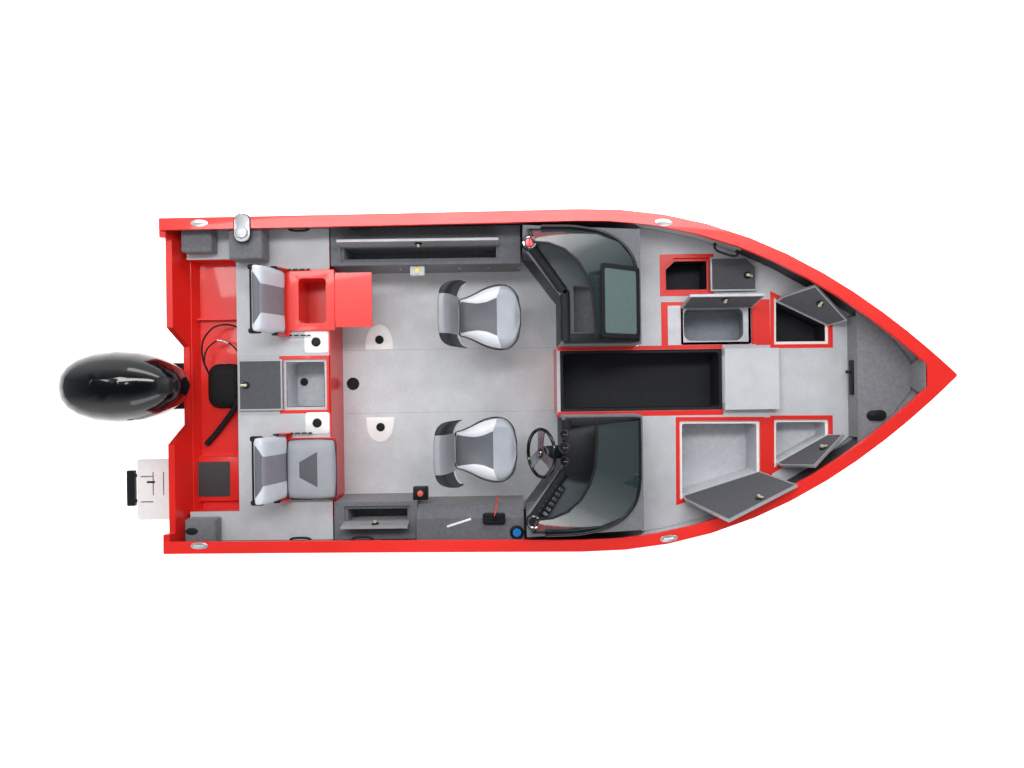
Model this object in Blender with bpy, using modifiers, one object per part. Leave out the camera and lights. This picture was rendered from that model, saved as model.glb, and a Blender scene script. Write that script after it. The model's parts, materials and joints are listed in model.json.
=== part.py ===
"""Aluminium fishing boat with twin consoles, lidded bow and stern decks and an outboard motor.

Metres, +X to the bow, +Y to port, +Z up. The origin lies on the waterline, on the centreline,
at the middle of the hull's length. Run in Blender 4.5 from the text editor, or with
blender --background --python part.py.
"""
import math

import bmesh
import bpy
from mathutils import Matrix, Vector

# Hull: plan, sheer and section
STERN_X = -2.762
BOW_X = 2.79
STEM_X = 2.755
SHOULDER_X = 0.20
HALF_BEAM = 1.204
STERN_TAPER = 0.014
PLAN_POWER = 2.15
STERN_SHEER = 0.70
SHEER_RISE = 0.16
KEEL_Z = -0.28
FOREFOOT_X = 1.2
CHINE_HALF = 0.98
CHINE_NOSE_X = 2.70
CHINE_FLAT = 0.035
DEADRISE = 0.24
BOW_DEADRISE = 0.06
SIDE_KNUCKLE = 0.80
PLATE = 0.010
TRANSOM_T = 0.045
RAKE = math.tan(math.radians(13))
TRANSOM_TOP = 0.60
MOTOR_BOARD_TOP = 0.42
NOTCH_HALF_LOW = 0.29
NOTCH_HALF_HIGH = 0.43
STRAKE_START = -2.53
STRAKE_END = 1.4
STRAKE_Y = (0.34, 0.64)
STRAKE_W = 0.022
STRAKE_H = 0.012
KEEL_W = 0.016
KEEL_END = 2.3
STATIONS = (-2.0, -1.2, -0.4, 0.2, 0.5, 0.8, 1.1, 1.4, 1.65, 1.9, 2.1, 2.3, 2.45, 2.6, 2.7, 2.755)

# Gunwale
RAIL_T = 0.035
RAIL_W = 0.084
RAIL_LIP = 0.012
RAIL_INNER_NOSE = 2.67
LIP_DROP = 0.05
NOSE_PLATE_X = 2.585
NOSE_SPREAD = 0.07

# Levels, above the waterline
FLOOR_Z = 0.08
DECK_Z = 0.48
DECK_T = 0.02
ANCHOR_Z = 0.64
WELL_FLOOR_Z = 0.30
BOX_Z = 0.50
DASH_Z = 0.80
GLASS_TOP_Z = 1.08

# Clearances
GAP = 0.0003
FIT = 0.002
SIDE_CLEAR = 0.0015

# Lids
LID_T = 0.0195
LEDGE = 0.022
FLANGE_T = 0.010
TUB_WALL = 0.004
BARREL_R = 0.004
BARREL_UP = 0.0035
BARREL_IN = 0.003
CLIP_HINGE = 0.024
CLIP_SIDE = 0.075

# Plan positions
AFT_DECK_FRONT = -1.61
AFT_DECK_AFT = -2.298
WELL_HALF = 0.93
SIDE_DECK_AFT = -2.66
WALK_AFT = 0.055
WALK_HALF = 0.242
BOW_DECK_AFT = 0.665
BOW_DECK_FRONT = 2.24
ANCHOR_AFT = 2.20
ANCHOR_FRONT = 2.58

BOAT = bpy.data.collections.new("fishing_boat")

COLOURS = {
    "red_paint": ((0.78, 0.02, 0.02), 0.25, 0.0),
    "bare_aluminium": ((0.62, 0.63, 0.64), 0.35, 1.0),
    "vinyl_deck": ((0.52, 0.53, 0.54), 0.7, 0.0),
    "grey_carpet": ((0.10, 0.105, 0.11), 0.95, 0.0),
    "grey_plastic": ((0.28, 0.29, 0.30), 0.5, 0.0),
    "black_plastic": ((0.02, 0.02, 0.022), 0.45, 0.0),
    "gloss_black": ((0.01, 0.01, 0.012), 0.12, 0.0),
    "seat_vinyl": ((0.25, 0.26, 0.28), 0.55, 0.0),
    "smoked_glass": ((0.04, 0.045, 0.05), 0.08, 0.0),
    "steel": ((0.55, 0.55, 0.56), 0.3, 1.0),
}


def material(name):
    """Return the Principled material of that finish, made once."""
    found = bpy.data.materials.get(name)
    if found:
        return found
    colour, roughness, metallic = COLOURS[name]
    made = bpy.data.materials.new(name)
    made.use_nodes = True
    shader = made.node_tree.nodes["Principled BSDF"]
    shader.inputs["Base Color"].default_value = (*colour, 1)
    shader.inputs["Roughness"].default_value = roughness
    shader.inputs["Metallic"].default_value = metallic
    return made


def add_mesh(name, mesh, finish):
    """Put a mesh in the boat's collection under its node name."""
    obj = bpy.data.objects.new(name, mesh)
    mesh.materials.clear()
    mesh.materials.append(material(finish))
    BOAT.objects.link(obj)
    return obj


def add_bmesh(name, bm, finish):
    """Turn an edit mesh into an object, with its faces turned outwards."""
    bmesh.ops.recalc_face_normals(bm, faces=bm.faces)
    mesh = bpy.data.meshes.new(name)
    bm.to_mesh(mesh)
    bm.free()
    return add_mesh(name, mesh, finish)


def settle(obj):
    """Apply an object's modifiers, or turn a curve into a welded mesh, in place."""
    graph = bpy.context.evaluated_depsgraph_get()
    mesh = bpy.data.meshes.new_from_object(obj.evaluated_get(graph))
    mesh.transform(obj.matrix_world)
    bm = bmesh.new()
    bm.from_mesh(mesh)
    bmesh.ops.remove_doubles(bm, verts=bm.verts, dist=0.00002)
    if obj.type == "CURVE":
        bmesh.ops.recalc_face_normals(bm, faces=bm.faces)
    bm.to_mesh(mesh)
    bm.free()
    finish = obj.data.materials[0].name
    name = obj.name
    bpy.data.objects.remove(obj, do_unlink=True)
    return add_mesh(name, mesh, finish)


def combine(target, tool, operation):
    """Join a tool to a solid, or cut it away, and use the tool up."""
    step = target.modifiers.new(operation.lower(), "BOOLEAN")
    step.operation = operation
    step.object = tool
    result = settle(target)
    bpy.data.objects.remove(tool, do_unlink=True)
    return result


def join(target, *tools):
    """Weld each tool to the target."""
    for tool in tools:
        target = combine(target, tool, "UNION")
    return target


def cut(target, *tools):
    """Take each tool's shape out of the target."""
    for tool in tools:
        target = combine(target, tool, "DIFFERENCE")
    return target


def block(name, low, high, finish="bare_aluminium", bevel=0.0, segments=1):
    """A box between two corners, with its edges rounded by bevel."""
    bm = bmesh.new()
    bmesh.ops.create_cube(bm, size=1.0)
    size = Vector(high) - Vector(low)
    centre = (Vector(high) + Vector(low)) / 2
    bmesh.ops.transform(bm, matrix=Matrix.Translation(centre) @ Matrix.Diagonal((*size, 1)), verts=bm.verts)
    if bevel:
        bmesh.ops.bevel(bm, geom=bm.edges[:], offset=bevel, segments=segments, profile=0.5, affect="EDGES")
    return add_bmesh(name, bm, finish)


def plate(name, outline, low, high, finish="bare_aluminium", holes=()):
    """A flat outline in plan, with holes, between two levels."""
    curve = bpy.data.curves.new(name, "CURVE")
    curve.dimensions = "2D"
    curve.fill_mode = "BOTH"
    curve.extrude = (high - low) / 2
    curve.materials.append(material(finish))
    for loop in (outline, *holes):
        spline = curve.splines.new("POLY")
        spline.points.add(len(loop) - 1)
        for point, (x, y) in zip(spline.points, loop):
            point.co = (x, y, 0, 1)
        spline.use_cyclic_u = True
    obj = bpy.data.objects.new(name, curve)
    obj.location.z = (low + high) / 2
    BOAT.objects.link(obj)
    bpy.context.view_layer.update()
    return settle(obj)


def prism(name, outline, start, end, finish="bare_aluminium"):
    """An outline in the Y-Z plane, drawn out along X."""
    bm = bmesh.new()
    face = bm.faces.new([bm.verts.new((start, y, z)) for y, z in outline])
    drawn = bmesh.ops.extrude_face_region(bm, geom=[face])
    moved = [item for item in drawn["geom"] if isinstance(item, bmesh.types.BMVert)]
    bmesh.ops.translate(bm, vec=(end - start, 0, 0), verts=moved)
    return add_bmesh(name, bm, finish)


def side_prism(name, outline, start, end, finish="bare_aluminium"):
    """An outline in the X-Z plane, drawn out along Y."""
    bm = bmesh.new()
    face = bm.faces.new([bm.verts.new((x, start, z)) for x, z in outline])
    drawn = bmesh.ops.extrude_face_region(bm, geom=[face])
    moved = [item for item in drawn["geom"] if isinstance(item, bmesh.types.BMVert)]
    bmesh.ops.translate(bm, vec=(0, end - start, 0), verts=moved)
    return add_bmesh(name, bm, finish)


def loft(name, rings, finish="bare_aluminium"):
    """A skin through rings of points, closed by a flat face at each end."""
    bm = bmesh.new()
    rows = [[bm.verts.new(point) for point in ring] for ring in rings]
    count = len(rows[0])
    for low, high in zip(rows, rows[1:]):
        for i in range(count):
            j = (i + 1) % count
            bm.faces.new((low[i], low[j], high[j], high[i]))
    bm.faces.new(rows[0])
    bm.faces.new(rows[-1])
    return add_bmesh(name, bm, finish)


def rod(name, start, end, radius, finish="steel", sides=12):
    """A straight round bar between two points."""
    axis = Vector(end) - Vector(start)
    bm = bmesh.new()
    bmesh.ops.create_cone(bm, cap_ends=True, segments=sides, radius1=radius, radius2=radius, depth=axis.length)
    turn = axis.to_track_quat("Z", "Y").to_matrix().to_4x4()
    centre = (Vector(start) + Vector(end)) / 2
    bmesh.ops.transform(bm, matrix=Matrix.Translation(centre) @ turn, verts=bm.verts)
    return add_bmesh(name, bm, finish)


def tube(name, points, radius, finish="steel", closed=False, resolution=1):
    """A bent tube along points, as a bevelled curve with filled ends."""
    curve = bpy.data.curves.new(name, "CURVE")
    curve.dimensions = "3D"
    curve.bevel_depth = radius
    curve.bevel_resolution = resolution
    curve.use_fill_caps = not closed
    curve.materials.append(material(finish))
    spline = curve.splines.new("POLY")
    spline.points.add(len(points) - 1)
    for point, place in zip(spline.points, points):
        point.co = (*place, 1)
    spline.use_cyclic_u = closed
    obj = bpy.data.objects.new(name, curve)
    BOAT.objects.link(obj)
    bpy.context.view_layer.update()
    return settle(obj)


def turned(name, profile, centre, finish="steel", steps=16):
    """A profile of (radius, height) points, top to bottom, spun about a vertical line."""
    mesh = bpy.data.meshes.new(name)
    mesh.from_pydata([(r, 0, z) for r, z in profile], [(i, i + 1) for i in range(len(profile) - 1)], [])
    obj = add_mesh(name, mesh, finish)
    obj.location = centre
    screw = obj.modifiers.new("turn", "SCREW")
    screw.steps = steps
    screw.render_steps = steps
    screw.use_merge_vertices = True
    screw.merge_threshold = 0.00001
    bpy.context.view_layer.update()
    return settle(obj)


def rounded(corners, radius, steps=3):
    """An outline whose corners are rounded by arcs of one radius."""
    points = []
    count = len(corners)
    for i, corner in enumerate(corners):
        here = Vector(corner)
        back = (Vector(corners[i - 1]) - here).normalized()
        ahead = (Vector(corners[(i + 1) % count]) - here).normalized()
        half = back.angle(ahead) / 2
        reach = radius / math.tan(half)
        centre = here + (back + ahead).normalized() * radius / math.sin(half)
        first = here + back * reach - centre
        sweep = (here + ahead * reach - centre).angle_signed(first)
        for step in range(steps + 1):
            points.append(tuple(centre + Matrix.Rotation(sweep * step / steps, 2) @ first))
    return points


def rect(x0, x1, y0, y1):
    """The four corners of a rectangle in plan, anticlockwise."""
    return [(x0, y0), (x1, y0), (x1, y1), (x0, y1)]


def inset(outline, distance):
    """Move each side of a convex anticlockwise outline inwards."""
    sides = []
    for i, start in enumerate(outline):
        end = outline[(i + 1) % len(outline)]
        along = (Vector(end) - Vector(start)).normalized()
        sides.append((Vector(start) + Vector((-along.y, along.x)) * distance, along))
    points = []
    for (p, d), (q, e) in zip([sides[-1]] + sides[:-1], sides):
        cross = d.x * e.y - d.y * e.x
        t = ((q.x - p.x) * e.y - (q.y - p.y) * e.x) / cross
        points.append((p.x + d.x * t, p.y + d.y * t))
    return points


def mirrored(points, side):
    """Flip points across the centreline for the starboard side, still in the same turn."""
    flipped = [(x, side * y) for x, y in points]
    return flipped if side > 0 else flipped[::-1]


def hinge(name, origin, axis, degrees):
    """An empty on a joint's axis, turned to where the joint rests."""
    empty = bpy.data.objects.new(name, None)
    empty.location = origin
    empty.rotation_mode = "AXIS_ANGLE"
    empty.rotation_axis_angle = (math.radians(degrees), *Vector(axis).normalized())
    BOAT.objects.link(empty)
    return empty


def hang(empty, *objects):
    """Let objects, modelled in world places with the joint closed, turn with a hinge."""
    for obj in objects:
        obj.data.transform(Matrix.Translation(-empty.location))
        obj.parent = empty


# The hull's shape
def plan_half(x, half, nose):
    """Half width in plan: nearly parallel aft of the shoulder, then curving in to the nose."""
    if x <= SHOULDER_X:
        return half - STERN_TAPER * (SHOULDER_X - x) / (SHOULDER_X - STERN_X)
    t = min(1.0, (x - SHOULDER_X) / (nose - SHOULDER_X))
    return half * (1 - t ** PLAN_POWER)


def sheer(x):
    """Height of the gunwale's top."""
    u = (x - STERN_X) / (BOW_X - STERN_X)
    return STERN_SHEER + SHEER_RISE * u * u


def section(x):
    """The hull's outer section at x: (y, z) from the keel out to the sheer."""
    s = max(0.0, (x - FOREFOOT_X) / (STEM_X + 0.005 - FOREFOOT_X))
    top = sheer(x) - RAIL_T - 2 * GAP
    keel = KEEL_Z + (sheer(STEM_X) - 0.06 - KEEL_Z) * s ** 3
    rise = (DEADRISE + BOW_DEADRISE * s) * (1 - s ** 4)
    chine = max(0.006, plan_half(x, CHINE_HALF, CHINE_NOSE_X))
    side = plan_half(x, HALF_BEAM, BOW_X) - RAIL_LIP
    mid_y = chine + (side - chine) * SIDE_KNUCKLE
    mid_z = (keel + rise) + (top - keel - rise) * 0.5
    flat = max(0.001, chine - CHINE_FLAT * (1 - s))
    return [(0, keel), (flat, keel + rise * 0.96), (chine, keel + rise), (mid_y, mid_z), (side, top)]


def height_half(points, z):
    """Half width of a section at a height."""
    for (y0, z0), (y1, z1) in zip(points[1:], points[2:]):
        if z <= z1:
            return y0 + (y1 - y0) * max(0.0, z - z0) / (z1 - z0)
    return points[-1][0]


def moved_in(points, thin):
    """A section's points moved in by the plating's thickness."""
    return [(max(0.0, y - thin) if i else 0.0, z + (thin if i < 3 else 0.0)) for i, (y, z) in enumerate(points)]


def inner_half(x, z):
    """Half width clear inside the plating, on the straight runs between stations."""
    stops = (STERN_X, *STATIONS)
    for a, b in zip(stops, stops[1:]):
        if x <= b:
            t = (x - a) / (b - a)
            wide_a = height_half(moved_in(section(a), PLATE), z)
            wide_b = height_half(moved_in(section(b), PLATE), z)
            return wide_a * (1 - t) + wide_b * t - SIDE_CLEAR
    return 0.0


def bottom_z(x, y):
    """Height of the plating's inner face at a place on the bottom."""
    keel, flat = section(x)[0], section(x)[1]
    return keel[1] + PLATE + (flat[1] - keel[1]) * abs(y) / (flat[0] - PLATE)


def transom_x(z):
    """The raked transom's outer face at a height."""
    return STERN_X + (TRANSOM_TOP - z) * RAKE


def hull_ring(x, thin, lift):
    """A whole closed section, moved in by thin, with straight walls above it to a height of lift."""
    places = moved_in(section(x), thin)
    if lift:
        places.append((places[-1][0], places[-1][1] + lift))
    return [(x, -y, z) for y, z in reversed(places[1:])] + [(x, y, z) for y, z in places]


def transom_ring(thin, lift, depth):
    """The aft-most ring, leaning with the transom, moved forward by depth."""
    return [(transom_x(z) + depth, y, z) for _, y, z in hull_ring(STERN_X, thin, lift)]


def make_hull():
    """Hull: plated bottom and sides, with a raked transom notched for the motor."""
    outer = [transom_ring(0, 0, 0)] + [hull_ring(x, 0, 0) for x in STATIONS]
    inner = [transom_ring(PLATE, 0.1, TRANSOM_T)] + [hull_ring(x, PLATE, 0.1) for x in STATIONS if x < 2.65]
    hull = loft("hull_shell", outer, "red_paint")
    hull = cut(hull, loft("inside", inner))
    far = 1.3
    low, high = NOTCH_HALF_LOW, NOTCH_HALF_HIGH
    notch = [(-low, MOTOR_BOARD_TOP), (low, MOTOR_BOARD_TOP), (high, TRANSOM_TOP + 0.01), (high, far),
             (-high, far), (-high, TRANSOM_TOP + 0.01)]
    top = block("top", (-2.9, -1.06, TRANSOM_TOP), (-2.69, 1.06, far))
    hull = cut(hull, prism("notch", notch, -2.9, -2.5), top)
    return join(hull, *strakes())


def bottom_skin(x, y):
    """Height of the bottom's outer face at a place."""
    keel, flat = section(x)[0], section(x)[1]
    return keel[1] + (flat[1] - keel[1]) * abs(y) / flat[0]


def strakes():
    """The keel strip and two lifting strakes on each side, as tools to weld to the hull."""
    stops = [x for x in STATIONS if x <= STRAKE_END]
    ridge = [x for x in STATIONS if x <= KEEL_END]
    tools = [loft("keel", [[(x, -KEEL_W, section(x)[0][1] - STRAKE_H), (x, KEEL_W, section(x)[0][1] - STRAKE_H),
                            (x, KEEL_W, section(x)[0][1] + STRAKE_H / 2), (x, -KEEL_W, section(x)[0][1] + STRAKE_H / 2)]
                           for x in [STRAKE_START] + ridge], "red_paint")]
    for side in (1, -1):
        for y in STRAKE_Y:
            rings = []
            for x in [STRAKE_START] + stops:
                low, inner, outer = bottom_skin(x, y), y - STRAKE_W, y + STRAKE_W
                rings.append([(x, side * inner, bottom_skin(x, inner) + 0.003), (x, side * outer, bottom_skin(x, outer) + 0.003),
                              (x, side * outer, low - STRAKE_H), (x, side * inner, low - STRAKE_H)])
            tools.append(loft("strake", rings, "red_paint"))
    return tools


def make_gunwale():
    """Gunwale: one broad painted cap all round, filled in at the bow from the nose plate's edge."""
    stops = (STERN_X, *STATIONS, 2.782)
    rings = []
    span = (RAIL_INNER_NOSE - STERN_X) / (BOW_X - STERN_X)

    def corners(x_out, y_out, x_in, y_in):
        top = sheer(x_out)
        top_in = sheer(x_in)
        y_lip = math.copysign(max(0.001, abs(y_out) - RAIL_LIP + 0.001), y_out)
        return [(x_out, y_out, top), (x_out, y_out, top - LIP_DROP), (x_out, y_lip, top - LIP_DROP),
                (x_out, y_lip, top - RAIL_T), (x_in, y_in, top_in - RAIL_T), (x_in, y_in, top_in)]

    for side in (1, -1):
        half = []
        for x in stops:
            x_in = min(NOSE_PLATE_X, STERN_X + (x - STERN_X) * span) if x > SHOULDER_X else x
            y_out = plan_half(x, HALF_BEAM, BOW_X)
            y_in = plan_half(x_in, HALF_BEAM - RAIL_W, RAIL_INNER_NOSE)
            if x_in == NOSE_PLATE_X:
                y_in *= (BOW_X - x) / NOSE_SPREAD
            half.append(corners(x, side * y_out, x_in, side * y_in))
        rings.append(half)
    loft("gunwale_cap", rings[0] + rings[1][::-1], "red_paint")


def deck_outline(start, end, z):
    """Points along both sides of a deck, inside the plating, from start to end at a level."""
    stops = [start] + [x for x in STATIONS if start < x < end] + [end]
    port = [(x, inner_half(x, z)) for x in stops]
    return [(x, -y) for x, y in port], port[::-1]


# Seat base plates: where the deck's pair lies, and the floor's pair of D shapes
BASE_T = 0.003
DECK_BASE = (-1.80, -1.628)
DECK_BASE_Y = (0.311, -0.286)
DECK_BASE_HALF = 0.077
FLOOR_BASE = (-1.3215, 0.268)
FLOOR_BASE_HALF = 0.1085
FLOOR_BASE_REACH = 0.197


def floor_base(side):
    """A D-shaped seat base plate, standing a little proud of the floor."""
    arc = []
    for i in range(13):
        a = math.pi * i / 12
        arc.append((FLOOR_BASE[0] + FLOOR_BASE_HALF * math.cos(a), FLOOR_BASE[1] + FLOOR_BASE_REACH * math.sin(a) ** 0.8))
    return plate("base", mirrored(arc, side), FLOOR_Z - 0.001, FLOOR_Z + BASE_T)


def make_floor():
    """Cockpit floor on two stringers that stand on the hull's bottom."""
    low = FLOOR_Z - DECK_T
    stbd, port = deck_outline(-2.28, BOW_DECK_AFT, low)
    floor = plate("cockpit_floor", stbd + port, low, FLOOR_Z, "vinyl_deck")
    for y in (-0.45, 0.45):
        foot = max(bottom_z(x, abs(y) + 0.02) for x in (-2.2, 0.5)) + 2 * GAP
        floor = join(floor, block("stringer", (-2.2, y - 0.02, foot), (0.5, y + 0.02, low + 0.001)))
    join(floor, floor_base(1), floor_base(-1))


# Openings in the decks, as anticlockwise outlines of their lids' recesses
LIVEWELL_AFT = rect(-1.966, -1.640, -0.190, 0.187)
TRAY_HATCH = [(0.852, 0.640), (1.196, 0.640), (1.196, 0.893), (0.930, 0.893), (0.852, 0.820)]
LIVEWELL_BOW = rect(0.975, 1.500, 0.250, 0.543)
ROD_LOCKER = rect(0.080, 1.279, -0.230, 0.220)
BIN_PORT = [(1.660, 0.246), (2.066, 0.244), (2.066, 0.398), (1.664, 0.596)]
BIN_STBD_AFT = [(0.950, -0.892), (1.546, -0.710), (1.550, -0.314), (0.955, -0.308)]
BIN_STBD_FWD = [(1.648, -0.666), (2.057, -0.444), (2.057, -0.310), (1.652, -0.306)]
SEAT_BOX = rect(-1.8415, -1.6285, 0.4415, 0.7835)


def make_bow_deck():
    """Bow casting deck, with the walk-through step and the openings for its hatches."""
    low = DECK_Z - DECK_T
    stbd, port = deck_outline(BOW_DECK_AFT, BOW_DECK_FRONT, low)
    walk_port = [(BOW_DECK_AFT, WALK_HALF), (WALK_AFT, WALK_HALF)]
    walk_stbd = [(WALK_AFT, -WALK_HALF), (BOW_DECK_AFT, -WALK_HALF)]
    holes = (TRAY_HATCH, LIVEWELL_BOW, ROD_LOCKER, BIN_PORT, BIN_STBD_AFT, BIN_STBD_FWD)
    deck = plate("bow_deck", walk_port + walk_stbd + stbd + port, low, DECK_Z, "vinyl_deck", holes)
    face = block("step", (WALK_AFT, -WALK_HALF, FLOOR_Z + GAP), (WALK_AFT + 0.006, WALK_HALF, low + 0.001))
    return join(deck, face)


def make_anchor_deck():
    """Raised anchor deck in the bow, with its aft face down to the casting deck."""
    low = ANCHOR_Z - DECK_T
    stbd, port = deck_outline(ANCHOR_AFT, ANCHOR_FRONT, low)
    deck = plate("anchor_deck", stbd + port, low, ANCHOR_Z, "grey_carpet")
    half = inner_half(ANCHOR_AFT + 0.01, DECK_Z) - 0.002
    face = block("face", (ANCHOR_AFT, -half, DECK_Z + GAP), (ANCHOR_AFT + 0.012, half, low + 0.001))
    return join(deck, face)


def make_aft_deck():
    """Aft deck round the splash well, with its painted front face and three carpeted pods."""
    low = DECK_Z - DECK_T
    stbd, port = deck_outline(SIDE_DECK_AFT, AFT_DECK_FRONT, low)
    well = [(SIDE_DECK_AFT, WELL_HALF), (AFT_DECK_AFT, WELL_HALF), (AFT_DECK_AFT, -WELL_HALF),
            (SIDE_DECK_AFT, -WELL_HALF)]
    deck = plate("aft_deck", stbd + port + well, low, DECK_Z, "vinyl_deck", (LIVEWELL_AFT, SEAT_BOX))
    half = inner_half(AFT_DECK_FRONT, FLOOR_Z) - 0.004
    face = block("face", (AFT_DECK_FRONT - 0.012, -half, FLOOR_Z + GAP), (AFT_DECK_FRONT, half, low + 0.001))
    edge = inner_half(-2.2, DECK_Z) - 0.003
    pods = [block("rod_pod", (-2.285, 0.90, DECK_Z - 0.001), (-2.050, edge, 0.655), bevel=0.015)]
    for side in (1, -1):
        inboard, outboard = sorted((side * 0.965, side * edge))
        pods.append(block("quarter_pod", (-2.65, inboard, DECK_Z - 0.001), (-2.43, outboard, 0.60), bevel=0.012))
    bases = []
    for y in DECK_BASE_Y:
        outline = rounded(rect(*DECK_BASE, y - DECK_BASE_HALF, y + DECK_BASE_HALF), 0.022)
        bases.append(plate("base", outline, DECK_Z - 0.001, DECK_Z + BASE_T))
    return join(deck, face, *pods, *bases)


def make_splash_well():
    """Red splash well ahead of the transom, open to the notch, with two low dividers."""
    floor = WELL_FLOOR_Z
    wall = 0.006
    top = DECK_Z - DECK_T - GAP
    aft_low = transom_x(floor - wall) + TRANSOM_T + GAP
    aft_high = transom_x(0.40) + TRANSOM_T + GAP
    front = AFT_DECK_AFT - 0.001
    half = WELL_HALF + 0.012
    outline = [(aft_low, floor - wall), (front, floor - wall), (front, top), (front - wall, top),
               (front - wall, floor), (aft_low + wall, floor), (aft_high + wall, 0.40), (aft_high, 0.40)]
    well = side_prism("splash_well", outline, -half, half, "red_paint")
    for side in (1, -1):
        low, high = sorted((side * half, side * (half - wall)))
        cheek = [(aft_low, floor - wall), (front, floor - wall), (front, top), (aft_high - 0.01, top),
                 (aft_high, 0.40)]
        well = join(well, side_prism("cheek", cheek, low, high))
    for y in (0.50, -0.53):
        rib = block("rib", (aft_low + 0.002, y - 0.005, floor - 0.001), (front - 0.002, y + 0.005, floor + 0.055))
        well = join(well, rib)
    return well


def tub(name, opening, depth, finish="grey_plastic", top=None, ledge=LEDGE, radius=0.02):
    """An open bin hung under a deck by its flange, which is also the lid's ledge."""
    top = DECK_Z - DECK_T - GAP if top is None else top
    mouth = inset(opening, ledge)
    body = rounded(inset(mouth, -TUB_WALL), radius + TUB_WALL)
    bin_body = join(plate(name, inset(opening, -0.012), top - FLANGE_T, top, finish),
                    plate("body", body, top - depth, top - FLANGE_T / 2))
    return cut(bin_body, plate("void", rounded(mouth, radius), top - depth + TUB_WALL, top + 0.01))


def make_tubs():
    """The bins, lockers and livewells under the decks."""
    tub("aft_livewell_tub", LIVEWELL_AFT, 0.30)
    tub("bow_livewell_tub", LIVEWELL_BOW, 0.24, radius=0.05)
    tub("tray_hatch_tub", TRAY_HATCH, 0.22)
    tub("rod_locker_tub", ROD_LOCKER, 0.26, "grey_carpet")
    tub("bow_bin_port_tub", BIN_PORT, 0.20)
    tub("bow_bin_stbd_aft_tub", BIN_STBD_AFT, 0.26)
    tub("bow_bin_stbd_fwd_tub", BIN_STBD_FWD, 0.18)


def barrel(start, end, margin):
    """The round of a piano hinge between two points, held back from its ends."""
    a, b = Vector(start), Vector(end)
    along = (b - a).normalized() * margin
    return rod("barrel", a + along, b - along, BARREL_R, "steel", 8)


def clipped(outline, corner, before, after):
    """An outline with one corner cut off, so far along the sides before and after it."""
    here = Vector(outline[corner])
    back = (Vector(outline[corner - 1]) - here).normalized()
    ahead = (Vector(outline[(corner + 1) % len(outline)]) - here).normalized()
    cut_off = [tuple(here + back * before), tuple(here + ahead * after)]
    return outline[:corner] + cut_off + outline[corner + 1:]


def lid(name, opening, side, rest, joint, finish="grey_carpet", top=DECK_Z, sharp=None):
    """A flush lid, hinged along one side of its opening and resting open by so many degrees.

    A sharp corner at the hinge is cut off, by the reaches given, so that it clears as it swings.
    """
    a, b = Vector(opening[side]), Vector(opening[(side + 1) % len(opening)])
    along = (b - a).normalized()
    inward = Vector((-along.y, along.x))
    outline = inset(opening, FIT)
    if sharp:
        outline = clipped(outline, *sharp)
    panel = plate(name, outline, top - LID_T, top, finish)
    level = top + BARREL_UP
    start = (a + inward * BARREL_IN).to_3d() + Vector((0, 0, level))
    end = (b + inward * BARREL_IN).to_3d() + Vector((0, 0, level))
    panel = join(panel, barrel(start, end, 0.02))
    pivot = hinge(joint, (start + end) / 2, along.to_3d(), rest)
    hang(pivot, panel)
    return pivot


def make_lids():
    """The deck lids, each resting open as far as it lies or leans."""
    lid("aft_livewell_lid", LIVEWELL_AFT, 3, 180, "aft_livewell_hinge", "grey_carpet")
    lid("tray_hatch_lid", TRAY_HATCH, 1, 180, "tray_hatch_hinge")
    lid("bow_livewell_lid", LIVEWELL_BOW, 2, 101, "bow_livewell_hinge")
    lid("bow_bin_port_lid", BIN_PORT, 2, 118, "bow_bin_port_hinge", sharp=(3, CLIP_HINGE, CLIP_SIDE))
    lid("bow_bin_stbd_aft_lid", BIN_STBD_AFT, 0, 104, "bow_bin_stbd_aft_hinge", sharp=(0, CLIP_SIDE, CLIP_HINGE))
    lid("bow_bin_stbd_fwd_lid", BIN_STBD_FWD, 0, 102, "bow_bin_stbd_fwd_hinge", sharp=(0, CLIP_SIDE, CLIP_HINGE))


LEAF_COUNT = 3
LEAF_GAP = 0.004
LEAF_T = 0.016


def make_rod_locker_leaves():
    """Rod locker lid in three leaves, folded forward in a stack as a concertina."""
    x0, x1 = ROD_LOCKER[0][0] + FIT, ROD_LOCKER[1][0] - FIT
    y0, y1 = ROD_LOCKER[0][1] + FIT, ROD_LOCKER[2][1] - FIT
    leaf = (x1 - x0 - (LEAF_COUNT - 1) * LEAF_GAP) / LEAF_COUNT
    pitch = leaf + LEAF_GAP
    top = DECK_Z
    above = top + BARREL_UP
    below = top - LEAF_T - BARREL_UP
    parent = None
    for i, name in enumerate(("fwd", "mid", "aft")):
        front = x1 - i * pitch
        panel = block(f"rod_locker_leaf_{name}", (front - leaf, y0, top - LEAF_T), (front, y1, top), "grey_carpet")
        level = above if i % 2 == 0 else below
        # The barrel stands over this leaf's front edge, or hangs under it
        axis_x = front - BARREL_IN + FIT if i == 0 else front + LEAF_GAP / 2
        if i:
            lift = top if level > top else top - LEAF_T
            low, high = sorted((level, lift))
            tab = block("tab", (front - 0.012, y0 + 0.05, low - 0.001), (front + LEAF_GAP / 2, y1 - 0.05, high + 0.001))
            panel = join(panel, tab)
        panel = join(panel, rod("barrel", (axis_x, y0 + 0.05, level), (axis_x, y1 - 0.05, level), BARREL_R, sides=8))
        turn = 180 if i % 2 == 0 else -180
        pivot = hinge(f"rod_locker_hinge_{name}", (axis_x, (y0 + y1) / 2, level), (0, 1, 0), turn)
        hang(pivot, panel)
        if parent:
            pivot.location -= parent[1]
            pivot.parent = parent[0]
        parent = (pivot, Vector((axis_x, (y0 + y1) / 2, level)))


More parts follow.
